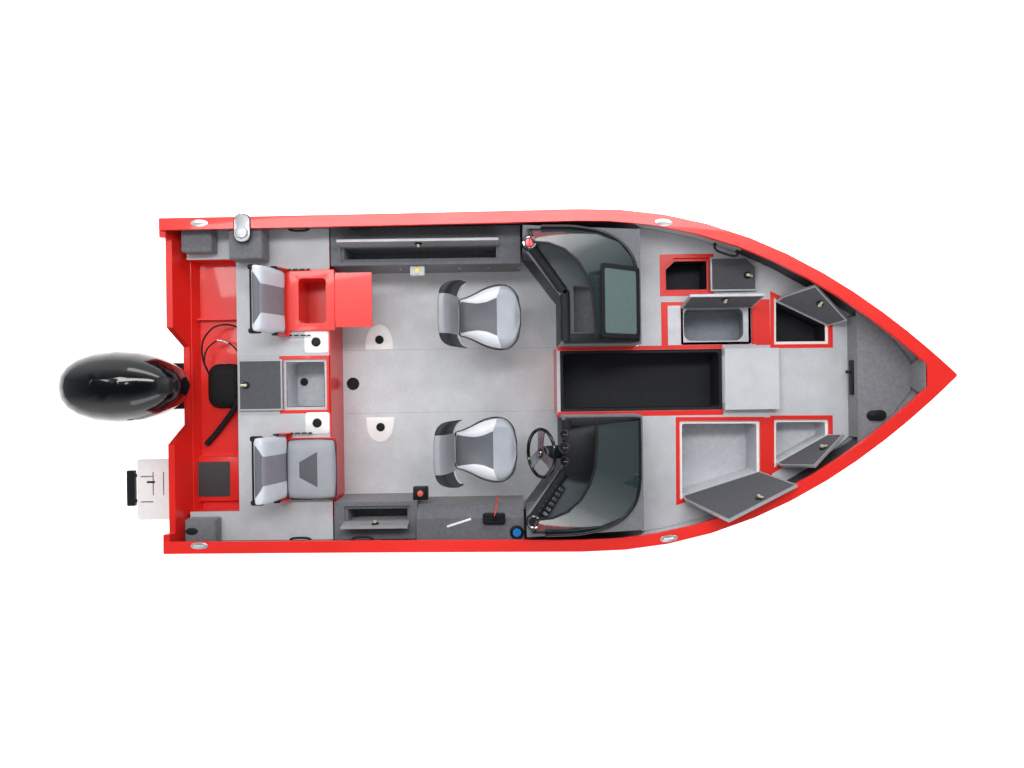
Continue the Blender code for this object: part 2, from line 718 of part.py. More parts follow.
def side_box(name, side, start, end, slot_start, slot_end, slot_low, slot_high):
    """A carpeted side locker against the hull, with a long opening in its top."""
    inboard = 0.868
    outboard_low = min(inner_half(start, FLOOR_Z), inner_half(end, FLOOR_Z)) - 0.004
    outboard_high = min(inner_half(start, BOX_Z), inner_half(end, BOX_Z)) - 0.004
    outline = [(inboard, FLOOR_Z + GAP), (outboard_low, FLOOR_Z + GAP), (outboard_high, BOX_Z), (inboard, BOX_Z)]
    body = prism(name, [(side * y, z) for y, z in outline], start, end, "grey_carpet")
    low, high = sorted((side * slot_low, side * slot_high))
    body = cut(body, block("void", (slot_start, low, BOX_Z - 0.30), (slot_end, high, BOX_Z + 0.05)))
    recess_low, recess_high = sorted((side * (slot_low - LEDGE), side * (slot_high + LEDGE)))
    recess = block("recess", (slot_start - LEDGE, recess_low, BOX_Z - LID_T - FIT / 2),
                   (slot_end + LEDGE, recess_high, BOX_Z + 0.05))
    return cut(body, recess)


def side_lid(name, side, start, end, low, high, rest, joint):
    """A side locker's narrow lid, hinged on its outboard edge."""
    opening = rect(start - LEDGE, end + LEDGE, low - LEDGE, high + LEDGE)
    hinge_side = 2
    if side < 0:
        opening = rect(start - LEDGE, end + LEDGE, -high - LEDGE, -low + LEDGE)
        hinge_side = 0
    lid(name, opening, hinge_side, rest, joint, top=BOX_Z)


def make_sides():
    """Side lockers, their lids and the helm side panel."""
    side_box("side_box_port", 1, -1.596, -0.20, -1.50, -0.38, 0.915, 1.005)
    side_lid("side_box_lid_port", 1, -1.50, -0.38, 0.915, 1.005, 96, "side_box_hinge_port")
    side_box("side_box_stbd", -1, -1.596, -0.985, -1.50, -1.06, 0.925, 1.015)
    side_lid("side_box_lid_stbd", -1, -1.50, -1.06, 0.925, 1.015, 96, "side_box_hinge_stbd")
    low = inner_half(-0.98, FLOOR_Z) - 0.004
    high = inner_half(-0.98, 0.56) - 0.004
    outline = [(0.90, FLOOR_Z + GAP), (low, FLOOR_Z + GAP), (high, 0.56), (0.99, 0.56), (0.90, 0.47)]
    prism("side_panel_stbd", [(-y, z) for y, z in outline], -0.984, -0.202, "grey_carpet")
    base = block("throttle_box", (-0.50, -1.03, 0.5603), (-0.34, -0.95, 0.60), "black_plastic", 0.01)
    lever = tube("lever", [(-0.42, -0.99, 0.59), (-0.41, -0.97, 0.66), (-0.39, -0.93, 0.71)], 0.009, "black_plastic")
    join(base, lever)


# Consoles and windshields, drawn for port and mirrored to starboard
CONSOLE = [(-0.185, 0.95), (0.078, 0.60), (0.078, 0.248), (0.628, 0.248), (0.628, 1.045), (-0.185, 1.085)]
SCREEN_BASE = [(-0.150, 1.050), (0.120, 1.046), (0.348, 1.017), (0.490, 0.955), (0.572, 0.850), (0.606, 0.700),
               (0.608, 0.460), (0.606, 0.268)]
SCREEN_TOP = [(-0.125, 0.915), (-0.020, 0.905), (0.080, 0.865), (0.165, 0.790), (0.225, 0.690), (0.262, 0.575),
              (0.275, 0.420), (0.278, 0.282)]
SCREEN_R = 0.009


BROW = ((-0.150, 0.962), (0.075, 0.640), (0.098, 0.590), (0.100, 0.272))
BROW_SECTION = ((-0.031, -0.001), (-0.031, 0.020), (-0.020, 0.034), (0.020, 0.034), (0.031, 0.020), (0.031, -0.001))


def brow(side):
    """The dash's padded brow along the console's aft edge."""
    path = [Vector((x, side * y, DASH_Z)) for x, y in BROW]
    rings = []
    for i, here in enumerate(path):
        along = (path[min(len(path) - 1, i + 1)] - path[max(0, i - 1)]).normalized()
        across = Vector((along.y, -along.x, 0))
        rings.append([here + across * a + Vector((0, 0, b)) for a, b in BROW_SECTION])
    return loft("brow", rings)


def make_console(name, side):
    """A console box from the floor to the dash, open aft below for the legs."""
    upper = mirrored(CONSOLE, side)
    wide = inner_half(0.628, FLOOR_Z) - 0.006
    lower = mirrored([(x, min(y, wide)) for x, y in CONSOLE], side)
    middle = BOX_Z + 0.02
    body = join(plate(name, lower, FLOOR_Z + GAP, middle, "grey_carpet"),
                plate("upper", upper, middle - 0.001, DASH_Z, "grey_carpet"))
    low, high = sorted((side * 0.27, side * (wide - 0.04)))
    knees = block("knees", (-0.4, low, FLOOR_Z + 0.02), (0.60, high, 0.66))
    return join(cut(body, knees), brow(side))


def make_consoles():
    """Port console with its glovebox and starboard console with the helm."""
    port = make_console("console_port", 1)
    cut(port, block("glovebox", (0.16, 0.30, 0.69), (0.50, 0.66, 0.9)))
    helm = make_console("console_stbd", -1)
    hub = Vector(WHEEL_CENTRE)
    column = rod("column", hub - WHEEL_NORMAL * (HUB_DEPTH + GAP), hub - WHEEL_NORMAL * 0.20, 0.045, sides=12)
    join(helm, column)


WHEEL_CENTRE = (-0.080, -0.500, 0.82)
WHEEL_TILT = math.radians(32)
WHEEL_NORMAL = Vector((-math.cos(WHEEL_TILT), 0, math.sin(WHEEL_TILT)))
WHEEL_R = 0.165
RIM_R = 0.012
HUB_DEPTH = 0.026


def make_wheel():
    """Steering wheel: rim, three spokes and hub, on the column's axis."""
    bpy.ops.mesh.primitive_torus_add(major_radius=WHEEL_R, minor_radius=RIM_R, major_segments=24, minor_segments=8)
    torus = bpy.context.object
    wheel = add_mesh("steering_wheel", torus.data.copy(), "black_plastic")
    bpy.data.objects.remove(torus, do_unlink=True)
    wheel = join(wheel, rod("hub", (0, 0, -HUB_DEPTH), (0, 0, 0.012), 0.038, sides=16))
    for angle in (90, 210, 330):
        a = math.radians(angle)
        out = Vector((math.cos(a), math.sin(a), 0))
        wheel = join(wheel, rod("spoke", out * 0.03, out * WHEEL_R, 0.008, sides=8))
    frame = WHEEL_NORMAL.to_track_quat("Z", "X").to_matrix().to_4x4()
    wheel.data.transform(Matrix.Translation(WHEEL_CENTRE) @ frame)
    pivot = hinge("steering_wheel_axis", WHEEL_CENTRE, WHEEL_NORMAL, 0)
    hang(pivot, wheel)


def make_screen(side, word):
    """Windshield: a tube frame round a smoked pane that wraps the console's front corner."""
    base = [Vector((x, side * y, DASH_Z + SCREEN_R + GAP)) for x, y in SCREEN_BASE]
    top = [Vector((x, side * y, GLASS_TOP_Z)) for x, y in SCREEN_TOP]
    tube(f"windshield_frame_{word}", base + top[::-1], SCREEN_R, "black_plastic", closed=True)
    reach = SCREEN_R + 0.003
    rows = [[], []]
    for i, (a, b) in enumerate(zip(base, top)):
        if i == 0:
            a, b = a.lerp(base[1], 0.08), b.lerp(top[1], 0.18)
        if i == len(base) - 1:
            a, b = a.lerp(base[-2], 0.08), b.lerp(top[-2], 0.115)
        rise = (b - a).normalized() * reach
        rows[0].append(a + rise)
        rows[1].append(b - rise)
    bm = bmesh.new()
    low = [bm.verts.new(p) for p in rows[0]]
    high = [bm.verts.new(p) for p in rows[1]]
    for i in range(len(low) - 1):
        bm.faces.new((low[i], low[i + 1], high[i + 1], high[i]))
    pane = add_bmesh(f"windshield_glass_{word}", bm, "smoked_glass")
    thick = pane.modifiers.new("thickness", "SOLIDIFY")
    thick.thickness = 0.005
    thick.offset = 0
    settle(pane)


GATE_T = 0.014
GATE_LIFT = 0.016


def make_gate():
    """Walk-through window, hinged on the port screen's inner edge and folded flat over it."""
    low = Vector((SCREEN_BASE[-1][0], 0, DASH_Z + SCREEN_R))
    high = Vector((SCREEN_TOP[-1][0], 0, GLASS_TOP_Z))
    slope = (high - low).normalized()
    out = Vector((-slope.z, 0, slope.x)) * -1
    width = SCREEN_BASE[-1][1] * 2 - 2 * SCREEN_R - 0.026
    bm = bmesh.new()
    bmesh.ops.create_cube(bm, size=1.0)
    length = (high - low).length - 0.05
    bmesh.ops.transform(bm, matrix=Matrix.Diagonal((length, width, GATE_T, 1)), verts=bm.verts)
    gate = add_bmesh("walk_through_gate", bm, "black_plastic")
    turn = Matrix((slope, Vector((0, 1, 0)), out)).transposed().to_4x4()
    hinge_y = SCREEN_BASE[-1][1]
    middle = (low + high) / 2
    centre = middle + Vector((0, hinge_y - 0.012 - width / 2, 0))
    gate.data.transform(Matrix.Translation(centre) @ turn)
    axis_at = middle + out * GATE_LIFT + Vector((0, hinge_y, 0))
    pin_r = GATE_LIFT - SCREEN_R + GAP
    pin = rod("pin", axis_at - slope * length * 0.41, axis_at + slope * length * 0.41, pin_r, sides=8)
    for share, wide, thick, y, lift in ((0.78, 0.013, 0.022, -0.018, 0.009), (0.74, 0.021, 0.006, -0.0115, 0.0155)):
        bm = bmesh.new()
        bmesh.ops.create_cube(bm, size=1.0)
        bmesh.ops.transform(bm, matrix=Matrix.Diagonal((length * share, wide, thick, 1)), verts=bm.verts)
        strap = add_bmesh("strap", bm, "black_plastic")
        place = middle + out * lift + Vector((0, hinge_y + y, 0))
        strap.data.transform(Matrix.Translation(place) @ turn)
        gate = join(gate, strap)
    gate = join(gate, pin)
    pivot = hinge("gate_hinge", axis_at, slope, 180)
    hang(pivot, gate)


# Pedestal seats
SEATS = {"driver": (-0.53, -0.495), "passenger": (-0.49, 0.468)}
PAN_AFT, PAN_FRONT = -0.160, 0.285
PAN_LOW, PAN_RIM = 0.498, 0.538
# Share of the pan's length, its half width there and how full its padding is
PAN_PLAN = ((0.0, 0.131, 0.6), (0.14, 0.148, 1.0), (0.28, 0.177, 1.0), (0.42, 0.209, 1.0), (0.55, 0.229, 1.0),
            (0.67, 0.235, 1.0), (0.78, 0.228, 0.95), (0.87, 0.206, 0.85), (0.94, 0.168, 0.7), (0.985, 0.105, 0.45),
            (1.0, 0.055, 0.3))
# Share of the pan's half width, and the padding's height over the rim there
PAN_CROWN = ((-1.0, 0.0), (-0.95, 0.022), (-0.80, 0.043), (-0.62, 0.047), (-0.35, 0.034), (0.0, 0.027))
SEAT_PIVOT = (-0.20, 0.685)
SEAT_LEAN = math.tan(math.radians(14))
BACK_STEPS = 12
BACK_T = 0.086
BACK_LOW, BACK_TOP = 0.652, 0.948
BACK_HALF = 0.218
BACK_FRONT = -0.18
WING = 0.080
CHEEK = ((-0.235, 0.65), (-0.235, 0.71), (-0.17, 0.71), (-0.10, 0.59), (-0.10, 0.505), (-0.17, 0.505))
CHEEK_Y = (0.228, 0.236)


def seat_pan_rings(x, y):
    """Level sections of a contoured pan, from its back edge to its round front."""
    crown = PAN_CROWN + tuple((-share, rise) for share, rise in reversed(PAN_CROWN[:-1]))
    rings = []
    for t, half, full in PAN_PLAN:
        place = x + PAN_AFT + (PAN_FRONT - PAN_AFT) * t
        ring = [(place, y + half * share, PAN_RIM + rise * full) for share, rise in crown]
        low = PAN_RIM + (PAN_LOW - PAN_RIM) * full
        rings.append(ring + [(place, y + half * 0.8, low), (place, y - half * 0.8, low)])
    return rings


def seat_back_rings(x, y):
    """Upright sections of a winged back, bowed forward at both sides."""
    rings = []
    for i in range(BACK_STEPS + 1):
        a = math.radians(-80 + 160 * i / BACK_STEPS)
        v = math.sin(a) / math.sin(math.radians(80))
        half = BACK_T / 2 * (1 - 0.4 * abs(v) ** 3)
        top = BACK_TOP - 0.055 * abs(v) ** 3
        low = BACK_LOW + 0.06 * abs(v) ** 3
        middle = x + BACK_FRONT - BACK_T / 2 + WING * abs(v) ** 2.4
        corners = ((1, low + 0.02), (1, top - 0.03), (0.5, top), (-0.5, top), (-1, top - 0.03), (-1, low + 0.02),
                   (-0.5, low), (0.5, low))
        rings.append([(middle + side * half - (z - BACK_LOW) * SEAT_LEAN, y + BACK_HALF * v, z) for side, z in corners])
    return rings


def make_seat(word, x, y):
    """A pedestal seat: post, swivelling contoured pan and folding winged back."""
    turned(f"seat_pedestal_{word}", [(0.0, 0.478), (0.037, 0.478), (0.037, FLOOR_Z + 0.03), (0.16, FLOOR_Z + 0.012),
                                    (0.165, FLOOR_Z + GAP), (0.0, FLOOR_Z + GAP)], (x, y, 0), "steel", 20)
    pan = loft(f"seat_pan_{word}", seat_pan_rings(x, y), "seat_vinyl")
    swivel_plate = rod("swivel", (x, y, 0.4785), (x, y, 0.505), 0.09, sides=16)
    arm = block("arm", (x - 0.165, y - CHEEK_Y[1], PAN_LOW + 0.002), (x - 0.105, y + CHEEK_Y[1], PAN_LOW + 0.020))
    pan = join(pan, swivel_plate, arm)
    for side in (-1, 1):
        low, high = sorted(side * reach for reach in CHEEK_Y)
        pan = join(pan, side_prism("cheek", [(x + a, z) for a, z in CHEEK], y + low, y + high))
    back = loft(f"seat_back_{word}", seat_back_rings(x, y), "seat_vinyl")
    pivot_at = Vector((x + SEAT_PIVOT[0], y, SEAT_PIVOT[1]))
    reach = Vector((0, CHEEK_Y[0] - 0.0005, 0))
    back = join(back, rod("bar", pivot_at - reach, pivot_at + reach, 0.012))
    swivel = hinge(f"seat_swivel_axis_{word}", (x, y, 0.4785), (0, 0, 1), 0)
    hang(swivel, pan)
    fold = hinge(f"seat_fold_axis_{word}", pivot_at, (0, 1, 0), 0)
    hang(fold, back)
    fold.location -= swivel.location
    fold.parent = swivel


# Jump seats
JUMP_X0, JUMP_X1 = -1.930, -1.572
JUMP_Y0, JUMP_Y1 = 0.392, 0.842
JUMP_PIVOT = (-1.965, 0.63)
BAR_Z = 0.785
BAR_INSET = 0.020


def jump_frame(name, side, base):
    """Cheeks that carry a jump seat's back, joined to its base."""
    for y in (JUMP_Y0 - 0.038, JUMP_Y1 - 0.005):
        low, high = sorted((side * y, side * (y + 0.008)))
        cheek = side_prism("cheek", [(-1.995, DECK_Z + GAP), (-1.90, DECK_Z + GAP), (-1.90, DECK_Z + 0.04),
                                     (-1.945, 0.66), (-1.985, 0.66), (-1.995, 0.60)], low, high, "black_plastic")
        base = join(base, cheek)
    low, high = sorted((side * (JUMP_Y0 - 0.035), side * (JUMP_Y1 + 0.002)))
    tie = block("tie", (-1.94, low, DECK_Z + GAP), (-1.90, high, BOX_Z), "black_plastic")
    return join(base, tie)


def jump_back(side, word):
    """A jump seat's folding back, with the bar that it turns on."""
    x, z = JUMP_PIVOT
    lean = math.tan(math.radians(15))
    outline = [(x + 0.028, 0.535), (x + 0.034, 0.57), (x + 0.034, 0.80), (x + 0.01, 0.85), (x - 0.03, 0.85),
               (x - 0.055, 0.80), (x - 0.055, 0.57), (x - 0.03, 0.535)]
    low, high = sorted((side * (JUMP_Y0 - 0.025), side * (JUMP_Y1 - 0.010)))
    back = side_prism(f"jump_seat_back_{word}", outline, low, high, "seat_vinyl")
    for vertex in back.data.vertices:
        vertex.co.x -= (vertex.co.z - z) * lean
    back = join(back, rod("bar", (x, low - 0.0045, z), (x, high + 0.0045, z), 0.011))
    rear = x - 0.055 - (BAR_Z - z) * lean
    for y in (low + BAR_INSET, high - BAR_INSET):
        back = join(back, block("knob", (rear - 0.022, y - 0.017, BAR_Z - 0.03), (rear + 0.02, y + 0.017, BAR_Z + 0.015)))
    back = join(back, rod("rear_bar", (rear - 0.010, low + BAR_INSET, BAR_Z), (rear - 0.010, high - BAR_INSET, BAR_Z), 0.010))
    fold = hinge(f"jump_seat_fold_{word}", (x, side * 0.6, z), (0, 1, 0), 0)
    hang(fold, back)


def make_jump_seats():
    """Port jump seat over an open storage box, starboard one with its cushion."""
    top = BOX_Z
    ring = plate("jump_seat_box_port", rect(JUMP_X0, JUMP_X1, JUMP_Y0, JUMP_Y1), DECK_Z + GAP, top, "red_paint")
    mouth = rect(-1.835, -1.635, 0.448, 0.777)
    body = rounded(inset(mouth, -TUB_WALL), 0.03)
    ring = join(ring, plate("body", body, 0.22, top - 0.005))
    ring = cut(ring, plate("void", rounded(mouth, 0.026), 0.224, top + 0.01))
    jump_frame("port", 1, ring)
    opening = rect(-1.842, JUMP_X1, 0.415, 0.815)
    panel = plate("jump_seat_lid", opening, top + 0.001, top + 0.001 + LID_T, "red_paint")
    axis = Vector((JUMP_X1 + 0.003, 0.615, top + 0.0025))
    tab = block("tab", (JUMP_X1 - 0.01, 0.45, top + 0.001), (JUMP_X1 + 0.003, 0.78, top + 0.0045))
    panel = join(panel, tab, rod("barrel", axis - Vector((0, 0.165, 0)), axis + Vector((0, 0.165, 0)), 0.0033, sides=8))
    pivot = hinge("jump_seat_lid_hinge", axis, (0, 1, 0), 180)
    hang(pivot, panel)
    base = block("jump_seat_base_stbd", (JUMP_X0, -JUMP_Y1, DECK_Z + GAP), (JUMP_X1, -JUMP_Y0, top), "red_paint")
    jump_frame("stbd", -1, base)
    block("jump_seat_cushion", (-1.895, -0.84, top + GAP), (-1.560, -0.40, 0.585), "seat_vinyl", 0.02, 2)
    jump_back(1, "port")
    jump_back(-1, "stbd")


# Outboard motor
TILT_X, TILT_Z = -2.785, 0.50
STEER_X = -2.90
SWIVEL_LOW, SWIVEL_HIGH = 0.14, 0.525
PROP_Z = -0.47
PROP_R = 0.185
VENT_Z = -0.27


def make_bracket():
    """Transom bracket: a plate bolted to the raked transom and two ears for the tilt tube."""
    bracket = block("transom_bracket", (-0.028, -0.17, 0.10), (-GAP, 0.17, MOTOR_BOARD_TOP + 0.03), "black_plastic")
    for side in (-1, 1):
        low, high = sorted((side * 0.135, side * 0.17))
        ear = block("ear", (-0.09, low, 0.16), (-0.01, high, 0.545), "black_plastic", 0.008)
        bracket = join(bracket, ear)
    for vertex in bracket.data.vertices:
        vertex.co.x += transom_x(vertex.co.z)
    return bracket


def oval(centre_x, half_x, half_y, z, narrow=0.18, power=2.4, count=20):
    """A level egg-shaped ring, narrower towards the bow."""
    ring = []
    for i in range(count):
        a = 2 * math.pi * i / count
        c, s = math.cos(a), math.sin(a)
        x = math.copysign(abs(c) ** (2 / power), c)
        y = math.copysign(abs(s) ** (2 / power), s)
        ring.append((centre_x + half_x * x, half_y * y * (1 - narrow * max(0.0, x) ** 1.5), z))
    return ring


COWL_RINGS = ((0.6403, -2.925, 0.345, 0.185), (0.70, -2.93, 0.378, 0.222), (0.80, -2.933, 0.395, 0.243),
              (0.90, -2.933, 0.400, 0.246), (0.98, -2.93, 0.388, 0.232), (1.05, -2.93, 0.350, 0.200),
              (1.10, -2.93, 0.285, 0.155), (1.13, -2.93, 0.200, 0.105), (1.142, -2.93, 0.105, 0.055))


def make_motor():
    """Outboard: bracket, swivel, leg with gearcase, power head, cowl and propeller."""
    make_bracket()
    swivel = rod("outboard_swivel", (STEER_X, 0, SWIVEL_LOW), (STEER_X, 0, SWIVEL_HIGH), 0.055, "black_plastic", 16)
    arm = block("arm", (-2.90, -0.055, 0.40), (TILT_X, 0.055, 0.51), "black_plastic")
    tilt_tube = rod("tilt_tube", (TILT_X, -0.1345, TILT_Z), (TILT_X, 0.1345, TILT_Z), 0.022)
    swivel = join(swivel, arm, tilt_tube)

    leg_side = [(-3.10, 0.56), (-2.975, 0.56), (-2.975, 0.10), (-2.93, 0.02), (-2.88, -0.12), (-2.87, VENT_Z),
                (-3.06, VENT_Z), (-3.09, 0.0)]
    leg = side_prism("outboard_leg", leg_side, -0.055, 0.055, "gloss_black")
    upper = block("upper", (-3.08, -0.06, SWIVEL_HIGH + GAP), (-2.85, 0.06, 0.60), "gloss_black")
    lower = block("lower", (-3.05, -0.05, 0.07), (-2.86, 0.05, SWIVEL_LOW - GAP), "gloss_black")
    pan = loft("pan", [oval(-2.925, 0.30, 0.15, 0.585), oval(-2.925, 0.345, 0.185, 0.64)], "gloss_black")
    vent = plate("vent", rounded([(-3.22, -0.11), (-2.84, -0.05), (-2.84, 0.05), (-3.22, 0.11)], 0.02),
                 VENT_Z - 0.012, VENT_Z + 0.002, "gloss_black")
    strut = side_prism("strut", [(-3.05, VENT_Z), (-2.87, VENT_Z), (-2.86, PROP_Z), (-3.04, PROP_Z)],
                       -0.032, 0.032, "gloss_black")
    skeg = side_prism("skeg", [(-3.06, PROP_Z), (-2.90, PROP_Z), (-2.98, -0.63), (-3.08, -0.645)],
                      -0.008, 0.008, "gloss_black")
    case = turned("case", [(0.0, 0.335), (0.025, 0.315), (0.048, 0.25), (0.056, 0.15), (0.056, 0.03), (0.052, 0.0),
                           (0.0, 0.0)], (0, 0, 0), "gloss_black", 16)
    case.data.transform(Matrix.Translation((-3.105, 0, PROP_Z)) @ Matrix.Rotation(math.radians(90), 4, "Y"))
    leg = join(leg, upper, lower, pan, vent, strut, skeg, case)

    head = block("power_head", (-3.17, -0.13, 0.6403), (-2.73, 0.13, 0.96), "grey_plastic", 0.02)
    bm = bmesh.new()
    rows = [[bm.verts.new(p) for p in oval(x, a, b, z)] for z, x, a, b in COWL_RINGS]
    for low, high in zip(rows, rows[1:]):
        for i in range(len(low)):
            j = (i + 1) % len(low)
            bm.faces.new((low[i], low[j], high[j], high[i]))
    bm.faces.new(rows[-1])
    cowl = add_bmesh("outboard_cowl", bm, "gloss_black")
    shell = cowl.modifiers.new("shell", "SOLIDIFY")
    shell.thickness = 0.005
    shell.offset = -1
    cowl = settle(cowl)

    hub = rod("propeller", (-3.1055, 0, PROP_Z), (-3.235, 0, PROP_Z), 0.05, "black_plastic", 16)
    for k in range(3):
        hub = join(hub, blade(k * 120))
    tilt = hinge("tilt_axis", (TILT_X, 0, TILT_Z), (0, 1, 0), 0)
    steer = hinge("steer_axis", (STEER_X, 0, 0.30), (0, 0, 1), 0)
    turn = hinge("propeller_axis", (-3.17, 0, PROP_Z), (1, 0, 0), 0)
    hang(tilt, swivel)
    hang(steer, leg, head, cowl)
    hang(turn, hub)
    turn.location -= steer.location
    steer.location -= tilt.location
    turn.parent = steer
    steer.parent = tilt


BLADE = ((0.042, 0.075, 0.012), (0.085, 0.105, 0.009), (0.130, 0.115, 0.007), (0.165, 0.090, 0.005),
         (0.185, 0.035, 0.004))
PITCH = 0.45


def blade(degrees):
    """One propeller blade, twisted to its pitch from the hub to the tip."""
    rings = []
    for radius, chord, thick in BLADE:
        angle = math.atan(PITCH / (2 * math.pi * radius))
        along = Vector((math.sin(angle), math.cos(angle), 0)) * chord / 2
        across = Vector((math.cos(angle), -math.sin(angle), 0)) * thick / 2
        centre = Vector((-3.17, 0, radius))
        rings.append([centre + along, centre + across, centre - along, centre - across])
    one = loft("blade", rings, "black_plastic")
    one.data.transform(Matrix.Translation((0, 0, PROP_Z)) @ Matrix.Rotation(math.radians(degrees), 4, "X"))
    return one


SLOT_HALF = 0.006


def make_platform():
    """Swim platform on the transom's starboard side, with the boarding ladder under it."""
    z0, z1 = 0.105, 0.127
    front = transom_x(z1) - GAP
    deck = plate("swim_platform", rounded(rect(-3.225, front, -1.045, -0.568), 0.02), z0, z1, "bare_aluminium")
    for y in (-0.905, -0.706):
        deck = cut(deck, block("slot", (-3.20, y - SLOT_HALF, z0 - 0.01), (-3.10, y + SLOT_HALF, z1 + 0.01)))
    for y in (-0.98, -0.63):
        web = side_prism("web", [(-3.15, z0 + 0.001), (transom_x(z0) - 2 * GAP, z0 + 0.001), (transom_x(-0.02) - GAP, -0.02)],
                         y - 0.004, y + 0.004)
        deck = join(deck, web)
    ladder = block("boarding_ladder", (-3.325, -0.94, 0.06), (-3.26, -0.66, 0.10), "black_plastic", 0.006)
    for y in (-0.90, -0.70):
        rail = tube("rail", [(-2.80, y, 0.092), (-3.29, y, 0.092)], 0.012)
        ladder = join(ladder, rail)
    step = block("step", (-3.05, -0.905, 0.082), (-3.0, -0.695, z0 - GAP), "black_plastic")
    join(ladder, step)


def build():
    """Make every piece of the boat."""
    bpy.context.scene.collection.children.link(BOAT)
    make_hull()
    make_gunwale()
    make_floor()
    make_aft_deck()
    make_splash_well()
    make_bow_deck()
    make_anchor_deck()
    make_tubs()
    make_lids()
    make_rod_locker_leaves()
    make_sides()
    make_consoles()
    make_wheel()
    for side, word in ((1, "port"), (-1, "stbd")):
        make_screen(side, word)
    make_gate()
    for word, (x, y) in SEATS.items():
        make_seat(word, x, y)
    make_jump_seats()
    make_motor()
    make_platform()


for old in list(bpy.data.objects):
    bpy.data.objects.remove(old, do_unlink=True)
build()
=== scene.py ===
"""Looks of the aluminium fishing boat: finishes, upholstery, trim, light and camera.

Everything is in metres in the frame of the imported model: +X to the bow, +Y to port and +Z up,
with the origin on the waterline at the middle of the hull.
"""

import json
import logging
import math
from dataclasses import dataclass
from enum import Enum
from functools import partial
from typing import Iterable, Optional, Sequence

import bmesh
import bpy
from mathutils import Matrix, Vector

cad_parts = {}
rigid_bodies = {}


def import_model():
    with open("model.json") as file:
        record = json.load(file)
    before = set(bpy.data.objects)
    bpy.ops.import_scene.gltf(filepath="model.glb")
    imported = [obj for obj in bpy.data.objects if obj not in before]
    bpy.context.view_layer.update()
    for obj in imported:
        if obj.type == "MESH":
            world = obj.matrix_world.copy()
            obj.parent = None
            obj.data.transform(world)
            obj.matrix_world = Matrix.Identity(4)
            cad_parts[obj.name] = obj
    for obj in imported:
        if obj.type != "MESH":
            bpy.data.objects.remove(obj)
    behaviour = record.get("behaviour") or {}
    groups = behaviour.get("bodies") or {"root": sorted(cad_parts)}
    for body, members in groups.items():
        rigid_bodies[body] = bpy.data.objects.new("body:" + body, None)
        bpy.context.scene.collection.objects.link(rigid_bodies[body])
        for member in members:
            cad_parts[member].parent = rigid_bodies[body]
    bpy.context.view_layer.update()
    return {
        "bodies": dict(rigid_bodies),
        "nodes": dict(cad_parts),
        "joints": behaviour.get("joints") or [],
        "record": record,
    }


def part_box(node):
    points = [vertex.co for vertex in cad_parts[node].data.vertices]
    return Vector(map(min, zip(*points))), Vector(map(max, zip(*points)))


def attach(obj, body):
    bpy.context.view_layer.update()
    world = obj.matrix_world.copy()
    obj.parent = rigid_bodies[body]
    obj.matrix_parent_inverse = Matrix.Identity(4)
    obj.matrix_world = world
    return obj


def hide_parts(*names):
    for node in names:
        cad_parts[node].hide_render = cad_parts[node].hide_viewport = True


LOG = logging.getLogger("fishing_boat")
BMesh = bmesh.types.BMesh
Socket = bpy.types.NodeSocket
Point = tuple[float, float, float]
Flat = tuple[float, float]
Quad = tuple[float, float, float, float]
Outline = tuple[Flat, ...]

DECK_Z = 0.48
FLOOR_Z = 0.08
ANCHOR_Z = 0.64
DASH_Z = 0.80
BOX_Z = 0.50
PROUD = 0.0006


class Surface(Enum):
    """How a finish varies over its surface."""

    PAINT = "paint"
    WEAVE = "weave"
    CARPET = "carpet"
    GRAIN = "grain"
    MOULDED = "moulded"
    BRUSHED = "brushed"
    POLISHED = "polished"
    GLASS = "glass"
    LENS = "lens"
    TREAD = "tread"
    DIAL = "dial"


class Side(Enum):
    """Side of the boat, as the sign of its Y."""

    PORT = 1
    STBD = -1

    @property
    def word(self) -> str:
        """The side's name as the CAD nodes spell it."""
        return "port" if self is Side.PORT else "stbd"


@dataclass(frozen=True)
class Finish:
    """One finish: its colour in sRGB, how it varies, and its gloss."""

    name: str
    colour: str
    surface: Surface
    slot: str
    roughness: float = 0.5
    metallic: float = 0.0
    coat: float = 0.0
    specular: float = 0.5
    sheen: float = 0.0
    spread: float = 0.08
    bump: float = 0.2
    alpha: float = 1.0
    glow: float = 0.0


vinyl = partial(Finish, surface=Surface.GRAIN, slot="seat_vinyl")
plastic = partial(Finish, surface=Surface.MOULDED, slot="liner_plastic")
brushed_steel = partial(Finish, surface=Surface.BRUSHED, slot="steel")
pile = partial(Finish, surface=Surface.CARPET, slot="grey_carpet")
lens = partial(Finish, surface=Surface.LENS, slot="smoked_glass")

RED_GLOSS = Finish("red_gloss_paint", "#D8251E", Surface.PAINT, "red_paint", 0.36, coat=0.3, bump=0.02)
HULL_RED = Finish("hull_gloss_paint", "#D4201A", Surface.PAINT, "hull_paint", 0.34, coat=0.3, bump=0.02)
# The cockpit floor's vinyl is the deck vinyl painted lighter: painted light that makes up for the shade the
# cockpit walls cast on the floor.
LIT_FLOOR_VINYL = Finish("woven_vinyl_painted_lighter", "#C6C9CC", Surface.WEAVE, "deck_vinyl", 0.72, bump=0.35)
DECK_VINYL = Finish("woven_deck_vinyl", "#B7B9BD", Surface.WEAVE, "deck_vinyl", 0.72, bump=0.35)
DARK_CARPET = pile("dark_marine_carpet", "#67696E", roughness=0.95, sheen=0.2, spread=0.35)
MID_CARPET = pile("anchor_deck_carpet", "#77787D", roughness=0.95, sheen=0.2, spread=0.35)
LID_STRIP = Finish("side_lid_underside", "#8C8D90", Surface.MOULDED, "grey_carpet", 0.6, spread=0.08)
LID_LINER = pile("lid_underside", "#54555A", roughness=0.9, spread=0.18, specular=0.2)
LINER = plastic("rotomoulded_liner", "#8A9199", roughness=0.45, bump=0.15)
LINER_RIM = plastic("light_liner_rim", "#BEC1C6", roughness=0.45, bump=0.1)
